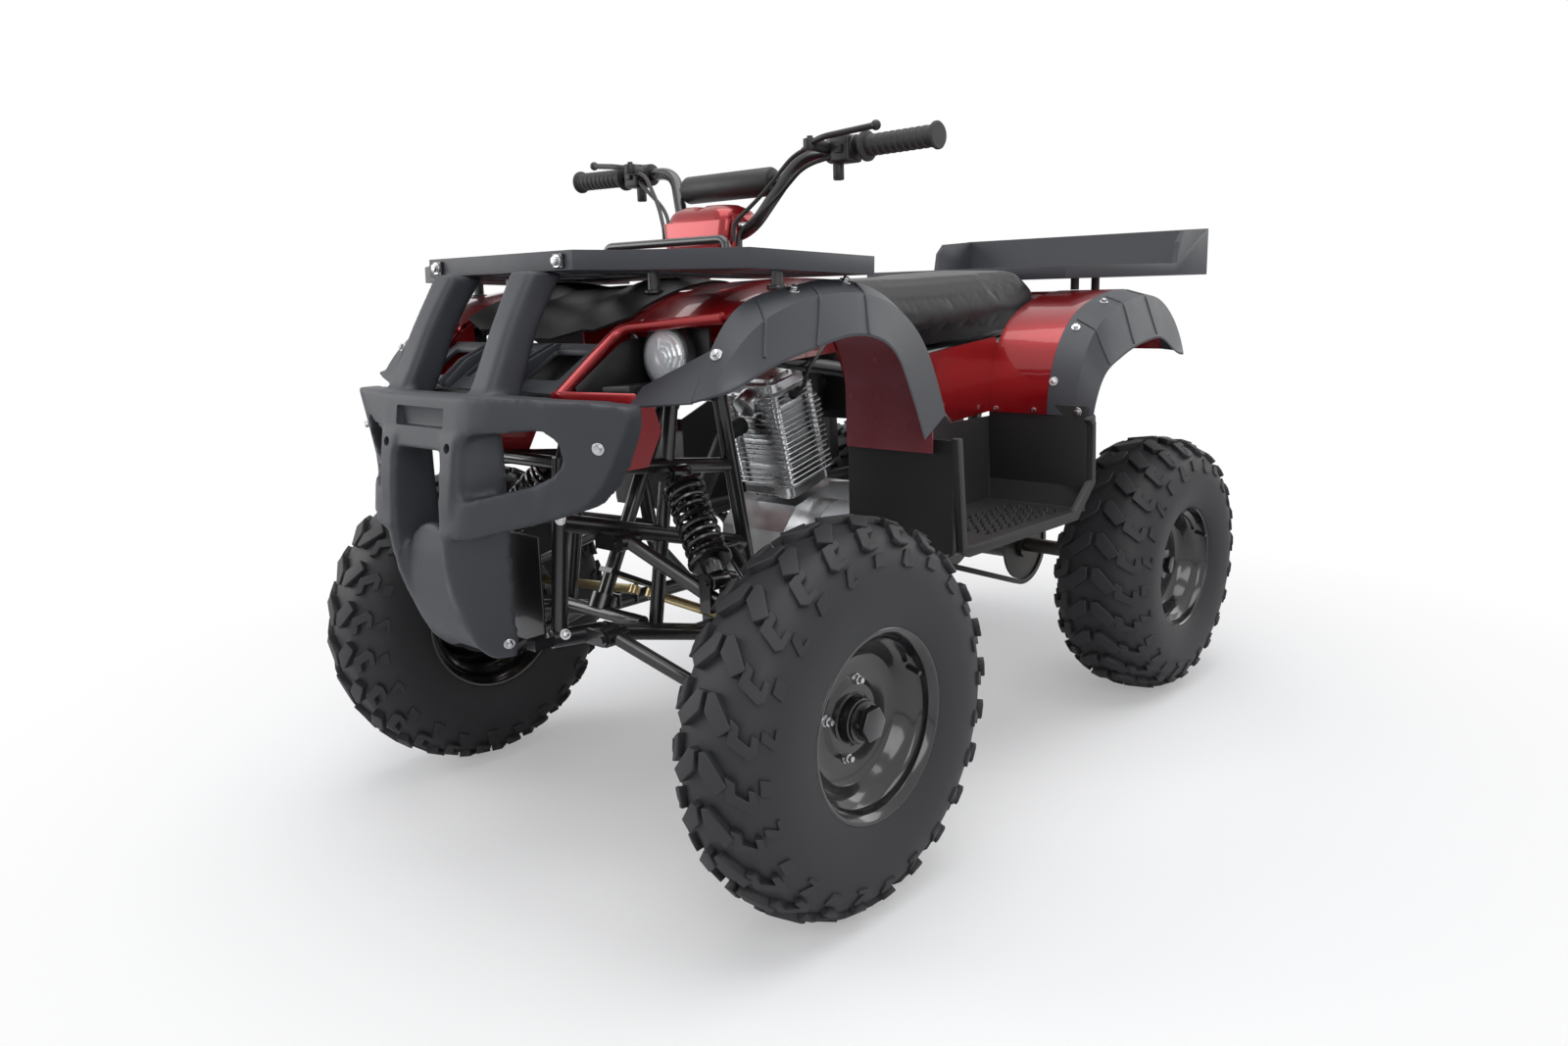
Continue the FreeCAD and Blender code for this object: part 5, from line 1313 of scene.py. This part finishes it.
class QUAD_OT_controls(bpy.types.Operator):
    """Handlebar with pad, ribbed grips, levers, cables and the red cover over its clamp"""
    bl_idname = "quad.controls"
    bl_label = "Controls"

    def execute(self, context):
        route = [BAR_END, BAR_KNEE, BAR_CLAMP]
        route += [Vector((-corner.x, corner.y, corner.z)) for corner in route[::-1]]
        handlebar = pipe(route, 11, 40, 28)
        share = BAR_CLAMP.lerp(BAR_KNEE, 0.7)
        brace = bar(ahead(-share.x, share.y, share.z), ahead(*share), 7 * MM, 24)
        piece = join([handlebar, brace], "bar")
        dress(piece, "handlebar_tube", "steering", "frame_black", "handlebar", angle=40)
        pad = soften(turned(PAD_SECTION, 48, (1, 0, 0), ahead(0, share.y, share.z)), 1.2, 2)
        dress(pad, "bar_pad", "steering", "pad_foam", "handlebar_pad", angle=50)
        self.grips()
        self.levers()
        self.cover()
        return {"FINISHED"}

    def grips(self):
        """Ribbed rubber sleeves with a flange at both ends."""
        section = [(0, 0), (0, 19), (2, 21), (5, 21), (8, 16.5)]
        for rib in range(9):
            start = 14 + rib * 12.6
            section += [(start, 17), (start + 2, 15.2), (start + 6, 15.2), (start + 8, 17)]
        section += [(133, 16.5), (135, 22), (137, 24), (141, 24), (142, 22), (142, 11.3), (3.7, 11.3),
                    (3.7, 0)]
        grip = turned(section, 40, INWARD, ahead(*(BAR_END - INWARD * 4)))
        dress_pair(grip, "grip_sleeves", "steering", "grip_rubber", "grips", angle=40)

    def levers(self):
        """Switch housings, lever perches, ball-ended levers and their cables."""
        at = BAR_END + INWARD * 182
        clamp = soften(bar(ahead(*(at - INWARD * 30)), ahead(*(at + INWARD * 30)), 20 * MM, 36), 2, 2)
        housing = soften(box((at.x - 12, at.y - 24, at.z - 22), (at.x + 26, at.y + 16, at.z + 20)), 5, 3)
        knob = bar(ahead(at.x - 6, at.y - 8, at.z - 48), ahead(at.x - 6, at.y - 8, at.z - 18), 9 * MM, 24)
        soften(knob, 2, 2)
        switch = soften(box((at.x + 2, at.y - 29, at.z - 8), (at.x + 16, at.y - 20, at.z + 6)), 1.5, 2)
        pivot = Vector((at.x - 28, at.y - 52, at.z + 8))
        perch = bar(ahead(at.x - 18, at.y - 12, at.z + 2), ahead(*pivot), 10 * MM, 24)
        tip = Vector((at.x + 94, at.y - 38, at.z + 24))
        blade = pipe([pivot, (at.x + 6, at.y - 62, at.z + 14), tip], 5, 60)
        under, top, head = (ahead(pivot.x, pivot.y, pivot.z + rise) for rise in (-10, 8, 12))
        boss = soften(bar(under, top, 11 * MM, 28), 1.5, 2)
        screw = bar(top, head, 5 * MM, 6)
        side = COVER_HALF + 3.8
        cables = [
            [(at.x - 20, at.y - 48, at.z + 6), (at.x - 66, at.y - 50, at.z - 6), (128, 232, 1050),
             (side, 204, 1006), (side, 204, 978)],
            [(at.x - 8, at.y - 14, at.z - 10), (at.x - 50, at.y - 44, at.z - 24), (132, 256, 1040),
             (side, 216, 992), (side, 214, 970)],
        ]
        hoses = [pipe(cable, 3.5, 60, 12) for cable in cables]
        sleeve = bar(ahead(*cables[0][0]), ahead(at.x - 46, at.y - 49.5, at.z), 5.5 * MM, 16, 4 * MM)
        end = ball(ahead(*tip), 8 * MM)
        parts = [clamp, housing, knob, switch, perch, blade, end, boss, screw, sleeve]
        piece = join(parts + hoses, "lever_set")
        dress_pair(piece, "lever_sets", "steering", "black_plastic", "brake_levers", angle=40)

    def cover(self):
        """Red shroud round the front of the clamp with a grooved cap over it."""
        shroud = loft([level_ring(74, 190, 232, 957, 18), level_ring(82, 192, 232, 1014, 18)])
        hollow = loft([level_ring(70, 194, 252, 956, 14), level_ring(78, 196, 252, 1015, 14)])
        carve(shroud, "DIFFERENCE", hollow)
        cap = smooth_loft([level_ring(74, 192, 288, 1010.5, 24), level_ring(72, 196, 285, 1022, 24),
                           level_ring(66, 202, 279, 1032, 24), level_ring(52, 214, 266, 1040, 24)], 9)
        carve(cap, "DIFFERENCE", bar(ahead(0, 150, 1050), ahead(0, 320, 1050), 18 * MM, 32))
        soften(cap, 2, 2, 35)
        soften(shroud, 1, 2, 35)
        piece = join([shroud, cap], "bar_cover")
        dress(piece, "bar_cover", "steering", "candy_red", "steering_cover", angle=40)


# Engine

CASE_TOP = 541
CYLINDER_LEAN = math.radians(14)
FIN_PITCH = 10
HEAD_FIN_PITCH = 8.5


class QUAD_OT_engine(bpy.types.Operator):
    """Air-cooled cylinder with thin fins, studs, head cover and plug lead"""
    bl_idname = "quad.engine"
    bl_label = "Engine"

    def execute(self, context):
        lean = Matrix.Translation(ahead(0, 410, CASE_TOP)) @ Matrix.Rotation(CYLINDER_LEAN, 4, "X")
        parts = [self.slab(52, 48, -22, 196, 14, 0.6), self.slab(64, 56, -14, 5, 16, 1.6)]
        for index in range(15):
            narrow = 3 if index % 5 == 4 else 0
            rise = index * FIN_PITCH
            parts.append(self.slab(76 - narrow, 66 - narrow, 12 + rise, 14.6 + rise, 18, 0.7))
        for index in range(3):
            rise = index * HEAD_FIN_PITCH
            parts.append(self.slab(68, 58, 163 + rise, 166.4 + rise, 16, 0.7))
        parts.append(self.slab(58, 50, 184, 205, 18, 2.6))
        parts.append(self.slab(40, 30, 203, 210, 14, 2.0))
        for x in (-58, 58):
            for y in (-46, 46):
                parts.append(bar(spot(x, y, 6), spot(x, y, 182), 7.5 * MM, 20))
        for x in (-44, 44):
            for y in (-36, 36):
                parts.append(bar(spot(x, y, 203), spot(x, y, 211), 6.5 * MM, 6))
        parts.append(soften(bar(spot(0, -44, 176), spot(0, -72, 166), 23 * MM, 32), 1.6, 2))
        piece = join(parts, "cylinder")
        piece.data.transform(lean)
        dress(piece, "engine_fins", "chassis", "engine_metal", "engine_cylinder", look="fin_metal",
              angle=35)
        cap = soften(bar(spot(66, -6, 172), spot(94, -14, 186), 9 * MM, 24, 7.5 * MM), 1.6, 2)
        lead = hose([spot(92, -13, 185), spot(112, -18, 196), spot(116, -10, 222), spot(116, 40, 244),
                     spot(99, 75.5, 250.2)], 3.6 * MM)
        plug = join([cap, lead], "plug_lead")
        plug.data.transform(lean)
        dress(plug, "plug_lead", "chassis", "black_plastic", angle=45)
        return {"FINISHED"}

    def slab(self, half_x, half_y, low, high, corner, edge):
        """A flat block across the cylinder, with round corners."""
        ring = rounded([(-half_x, -half_y, 0), (half_x, -half_y, 0), (half_x, half_y, 0),
                        (-half_x, half_y, 0)], corner)
        piece = plate([(point.x * MM, point.y * MM) for point in ring], (high - low) * MM)
        piece.data.transform(Matrix.Translation((0, 0, low * MM)))
        soften(piece, edge, 1, 50)
        return piece


# Flare ribs and bolts

# Node, y at the top and at the lip, height of the lip, and the x of the arch's middle
FLARE_RIBS = [
    ("front_flares", -62, -98, 810, 360), ("front_flares", 49, 2, 819, 360),
    ("front_flares", 150, 118, 830, 360), ("rear_flares", 880, 867, 733, 330),
    ("rear_flares", 995, 970, 767, 330), ("rear_flares", 1090, 1074, 781, 330),
]
RIB_STEPS = 14
RIB_START, RIB_STOP = 71, 4
RIB_THICKNESS = 2.6

FLARE_REACH = 0.2

# What carries the bolt, a place near its seat, and the way it faces
BOLTS = [
    ("front_flares", (392, -149, 817), (0.35, -0.76, 0.54)),
    ("front_flares", (390, 8, 895), (0.46, -0.15, 0.87)),
    ("front_flares", (384, 130, 906), (0.5, 0.07, 0.87)),
    ("rear_flares", (368, 863, 806), (0.29, -0.61, 0.74)),
    ("rear_flares", (374, 965, 852), (0.27, -0.26, 0.93)),
    ("rear_flares", (358, 797, 706), (0.22, -0.94, 0.24)),
    ("frame", (110, -211, 400), (0.3, -1, 0)), ("frame", (108, -204, 574), (0.3, -1, 0)),
    ("footwell_boxes", (236, 788, 650), (0, -1, 0)), ("footwell_boxes", (322, 788, 650), (0, -1, 0)),
    ("footwell_boxes", (414, 788, 650), (0, -1, 0)), ("guard", (296, -275, 701), (0.49, -0.85, -0.16)),
    ("guard", (102, -290, 400), (1, 0, 0)),
]


class QUAD_OT_fastenings(bpy.types.Operator):
    """Ribs on the flares, and zinc bolts on flares, footwell boxes, guard, rack and frame"""
    bl_idname = "quad.fastenings"
    bl_label = "Fastenings"

    def execute(self, context):
        ribs = []
        for node, top, low, level, centre in FLARE_RIBS:
            points = []
            for step in range(RIB_STEPS + 1):
                share = step / RIB_STEPS
                angle = math.radians(RIB_START + (RIB_STOP - RIB_START) * share)
                middle = ahead(centre, top + (low - top) * share, level - 5)
                way = Vector((math.cos(angle), 0, math.sin(angle)))
                points.append(meet(node, middle + way * FLARE_REACH, middle)[0])
            ribs.append(hose(points, RIB_THICKNESS * MM, 8, 4))
        piece = join(ribs, "flare_ribs")
        dress_pair(piece, "flare_ribs", "chassis", "trim_dark", angle=60)
        found = [seat_on(*bolt) for bolt in BOLTS]
        bolts = scatter(bolt_master(5.4, 8.6), found, "bolts")
        dress_pair(bolts, "bolts", "chassis", "steel")
        bracket = soften(box((142, -213, 934), (164, -196, 954)), 1.2, 2)
        dress_pair(bracket, "rack_brackets", "chassis", "frame_black")
        bracket_bolt = scatter(bolt_master(6.5, 9), [(ahead(153, -213, 944), (0, -1, 0))], "rack_bolts")
        dress_pair(bracket_bolt, "rack_bolts", "chassis", "steel")
        return {"FINISHED"}


# Mouldings

class QUAD_OT_mouldings(bpy.types.Operator):
    """Boxes behind the footwells, red inner panels, floor studs, footwells and front plate"""
    bl_idname = "quad.mouldings"
    bl_label = "Mouldings"

    def execute(self, context):
        box_form = side_form([(790, 664), (830, 640), (836, 512), (795, 502)], 217, 432, 4)
        soften(box_form, 2.4, 2, 40)
        dress_pair(box_form, "footwell_boxes", "chassis", "well_black", angle=40)
        curve = [(292, 826), (318, 792), (331, 748), (334, 700), (334, 626)]
        outer = [(292, 812), (316, 784), (328, 744), (333, 700), (333, 626)]
        panel = skin([(218, curve), (326, curve), (398, outer)], 3, 20, 6)
        dress_pair(panel, "inner_panels", "chassis", "candy_red", look="panel_red", angle=60)
        master = bar((0, 0, -1 * MM), (0, 0, 7 * MM), 5 * MM, 6, 3 * MM)
        seats = [(ahead(x, y, 462), (0, 0, 1)) for x in range(300, 401, 20) for y in range(500, 741, 24)]
        studs = scatter(master, seats, "floor_studs")
        dress_pair(studs, "floor_studs", "chassis", "well_black")
        for node, look, width in (("footwells", "well_black", 1.6), ("front_plate", "frame_black", 1.2)):
            piece = moulded(node, width)
            dress(piece, node + "_moulding", "chassis", look, node)
        return {"FINISHED"}


# Headlamps

LAMP = (266, -122, 809)
LAMP_SCALE = 1.1


def lamp_form(section, steps):
    """A section round the axis of the left headlamp."""
    return turned(section, steps, (0, 1, 0), ahead(*LAMP), LAMP_SCALE)


class QUAD_OT_headlamps(bpy.types.Operator):
    """Buckets with silver faceted reflectors behind clear domes, and a black ring round each"""
    bl_idname = "quad.headlamps"
    bl_label = "Headlamps"

    def execute(self, context):
        wall = side_form([(-240, 774), (-158, 829), (-142, 834), (-100, 836), (-100, 756), (-236, 756)],
                         208.5, 212)
        floor = level_form([(208, -240), (258, -172), (264, -150), (330, -142), (330, -100), (208, -100)],
                           753, 756.5)
        back = box((208, -100, 753), (330, -96, 848))
        body = bar(ahead(268, -99, 808), ahead(268, -114, 808), 31 * MM, 40)
        flap = level_form([(213, -196), (236, -166), (236, -110), (213, -110)], 756, 772)
        for part in (wall, floor, back, flap):
            soften(part, 1.0, 2)
        bucket = join([wall, floor, back, body, flap], "bucket")
        smooth(bucket, 40)
        dress_pair(bucket, "headlamp_buckets", "chassis", "lamp_lens", "headlights", look="hood_black")
        steps = [(-9.4, 0.0), (-9.2, 7), (-7.4, 7.6), (-8.6, 14), (-6.4, 14.6), (-7.0, 21), (-4.4, 21.6),
                 (-4.8, 28), (-1.6, 28.6), (-1.8, 34.5), (0.6, 35.4), (3, 35.4), (3, 0.0)]
        silver = lamp_form(steps, 26)
        dress_pair(silver, "headlamp_reflectors", "chassis", "lamp_lens", look="lamp_silver")
        dome = [(3, 37.4), (-1, 37.4), (-5, 36.4), (-10, 32), (-14.5, 24), (-17.4, 13), (-18.4, 0),
                (-16.4, 0), (-15.6, 12.4), (-12.9, 22.8), (-8.7, 30.4), (-4, 34.6), (-1, 35.6), (3, 35.6)]
        glass = lamp_form(dome, 48)
        dress_pair(glass, "headlamp_domes", "chassis", "lamp_lens", angle=60)
        ring = [(14, 38.3), (-1, 38.3), (-3.4, 39.4), (-3.4, 41.4), (-1, 42.6), (14, 42.6)]
        rim = soften(lamp_form(ring, 48), 0.8, 2)
        dress_pair(rim, "headlamp_rings", "chassis", "black_plastic", angle=50)
        return {"FINISHED"}


# Dressing of the frame's own nodes

NODE_LOOKS = {
    "frame_black": ("frame", "frame_bars", "suspension_arms", "swingarm", "steering_stem", "knuckle_left",
                    "knuckle_right"),
    "candy_red": ("splash_guards", "tank_cover", "rear_body"),
    "trim_dark": ("front_flares", "rear_flares"),
    "engine_metal": ("engine_case",),
    "exhaust_black": ("exhaust",),
    "black_plastic": ("carburettor",),
    "tail_red": ("tail_light",),
    "chain_steel": ("chain", "rear_axle"),
    "yellow_zinc": ("tie_rod_left", "tie_rod_right"),
}
CASE_ANGLE = 18
NODE_ANGLE = 30


class QUAD_OT_node_finishes(bpy.types.Operator):
    """Finishes on the nodes that keep their own shape"""
    bl_idname = "quad.node_finishes"
    bl_label = "Node finishes"

    def execute(self, context):
        for look, names in NODE_LOOKS.items():
            for name in names:
                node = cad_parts[name]
                node.data.materials.clear()
                node.data.materials.append(LOOKS[look])
                smooth(node, CASE_ANGLE if name == "engine_case" else NODE_ANGLE)
        return {"FINISHED"}


# Stage

CAMERA_PLACE = (1462.7, -1198.0, 898.4)
CAMERA_TURN = math.radians(42.44)
CAMERA_DROP = math.radians(11.64)
CAMERA_ROLL = math.radians(-1.71)
FOCAL_PIXELS = 1162.58
PHOTO_WIDTH = 1600


def add_camera():
    """The camera that took the photo, as solved from it."""
    camera = bpy.data.objects.new("camera", bpy.data.cameras.new("camera"))
    bpy.context.scene.collection.objects.link(camera)
    back = Vector((math.sin(CAMERA_TURN) * math.cos(CAMERA_DROP),
                   -math.cos(CAMERA_TURN) * math.cos(CAMERA_DROP), math.sin(CAMERA_DROP)))
    right = Vector((math.cos(CAMERA_TURN), math.sin(CAMERA_TURN), 0))
    up = back.cross(right)
    tilted = math.cos(CAMERA_ROLL) * right + math.sin(CAMERA_ROLL) * up
    raised = -math.sin(CAMERA_ROLL) * right + math.cos(CAMERA_ROLL) * up
    turn = Matrix((tilted, raised, back)).transposed().to_4x4()
    camera.matrix_world = Matrix.Translation(ahead(*CAMERA_PLACE)) @ turn
    camera.data.sensor_fit = "HORIZONTAL"
    camera.data.sensor_width = 36
    camera.data.lens = FOCAL_PIXELS / PHOTO_WIDTH * 36
    camera.data.clip_start = 0.05
    camera.data.clip_end = 100
    bpy.context.scene.camera = camera


def add_lamp(name, place, aim, size, power):
    """A rectangular lamp at a place, aimed at another."""
    data = bpy.data.lights.new(name, "AREA")
    data.shape = "RECTANGLE"
    data.size, data.size_y = size
    data.energy = power
    lamp = bpy.data.objects.new(name, data)
    bpy.context.scene.collection.objects.link(lamp)
    lamp.location = place
    direction = Vector(aim) - Vector(place)
    lamp.rotation_euler = direction.to_track_quat("-Z", "Y").to_euler()


def add_world():
    """White for the camera, mirrors and glass, and a soft dim light for the rest."""
    world = bpy.data.worlds.new("studio")
    bpy.context.scene.world = world
    world.use_nodes = True
    tree = world.node_tree
    tree.nodes.clear()

    def add(kind, *sources, **values):
        """A node fed by sockets in order, and by values under their names."""
        made = tree.nodes.new(kind)
        for source, target in zip(sources, made.inputs):
            tree.links.new(source, target)
        for name, value in values.items():
            made.inputs[name].default_value = value
        return made

    ray = add("ShaderNodeLightPath").outputs
    clear = add("ShaderNodeMath", ray["Is Transmission Ray"], ray["Is Glossy Ray"])
    seen = add("ShaderNodeMath", ray["Is Camera Ray"], clear.outputs[0])
    clear.operation = seen.operation = "MAXIMUM"
    dim = add("ShaderNodeBackground", Color=(0.93, 0.95, 1.0, 1), Strength=0.42)
    white = add("ShaderNodeBackground", Color=(1, 1, 1, 1), Strength=1.0)
    mix = add("ShaderNodeMixShader", seen.outputs[0], dim.outputs[0], white.outputs[0])
    add("ShaderNodeOutputWorld", mix.outputs[0])


def floor_finish():
    """White floor that keeps the shadow close by and fades to plain white for the camera."""
    made = Finish("floor_white", (0.92, 0.92, 0.92), 0.9, specular_ior_level=0.0)
    made.set(Roughness=0.86 + 0.05 * made.noise(3, 2))
    across, along = made.axis("X"), made.axis("Y")
    distance = (across * across + along * along).root()
    far = ((distance - 0.9) / 1.1).clamped()
    seen = made.node("ShaderNodeLightPath", {}, {}, "Is Camera Ray")
    share = seen * (0.30 + 0.70 * far)
    glow = made.node("ShaderNodeEmission", {}, {"Color": (1, 1, 1), "Strength": 1.0})
    mix = made.node("ShaderNodeMixShader", {}, {0: share, 1: Wire(made, made.shader.outputs[0]), 2: glow})
    made.tree.links.new(mix.socket, made.tree.nodes["Material Output"].inputs["Surface"])
    return made.material


def add_floor():
    clear_selection()
    bpy.ops.mesh.primitive_grid_add(x_subdivisions=4, y_subdivisions=4, size=24,
                                    location=(0, 0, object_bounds()[0].z - 0.0005))
    floor = bpy.context.object
    settle(floor)
    floor.name = "floor"
    floor.data.materials.append(floor_finish())
    floor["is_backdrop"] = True


class QUAD_OT_stage(bpy.types.Operator):
    """Camera, soft studio light and a plain pale floor"""
    bl_idname = "quad.stage"
    bl_label = "Stage"

    def execute(self, context):
        context.scene.view_settings.view_transform = "Standard"
        add_camera()
        add_world()
        add_floor()
        add_lamp("overhead", (0.3, -0.3, 3.6), (0, 0, 0.4), (3.2, 3.2), 74)
        add_lamp("key", (3.2, -2.6, 2.4), (0, -0.2, 0.5), (2.0, 2.4), 40)
        add_lamp("fill", (-3.0, -2.8, 1.7), (0, 0, 0.5), (2.0, 2.2), 46)
        add_lamp("rear", (1.6, 3.4, 2.2), (0, 0.2, 0.6), (2.4, 1.6), 26)
        return {"FINISHED"}


# Panel and run

class QUAD_PT_looks(bpy.types.Panel):
    bl_label = "Quad Bike"
    bl_space_type = "VIEW_3D"
    bl_region_type = "UI"
    bl_category = "Quad Bike"

    def draw(self, context):
        for group in (context.scene.quad_tyres, context.scene.quad_paints):
            for name in group.__annotations__:
                self.layout.prop(group, name)
        for operator in PIECES:
            self.layout.operator(operator.bl_idname)


PIECES = (QUAD_OT_tyres, QUAD_OT_wheels, QUAD_OT_seat, QUAD_OT_shocks, QUAD_OT_guard, QUAD_OT_racks,
          QUAD_OT_front_body, QUAD_OT_headlamps, QUAD_OT_controls, QUAD_OT_mouldings,
          QUAD_OT_engine, QUAD_OT_fastenings, QUAD_OT_node_finishes, QUAD_OT_stage)
CLASSES = (TyreSizes, Paints) + PIECES + (QUAD_PT_looks,)


def register():
    for item in CLASSES:
        bpy.utils.register_class(item)
    bpy.types.Scene.quad_tyres = PointerProperty(type=TyreSizes)
    bpy.types.Scene.quad_paints = PointerProperty(type=Paints)


def unregister():
    del bpy.types.Scene.quad_paints
    del bpy.types.Scene.quad_tyres
    for item in reversed(CLASSES):
        bpy.utils.unregister_class(item)


def main():
    register()
    make_finishes()
    for operator in PIECES:
        group, name = operator.bl_idname.split(".")
        getattr(getattr(bpy.ops, group), name)()


if __name__ == "__main__":
    main()
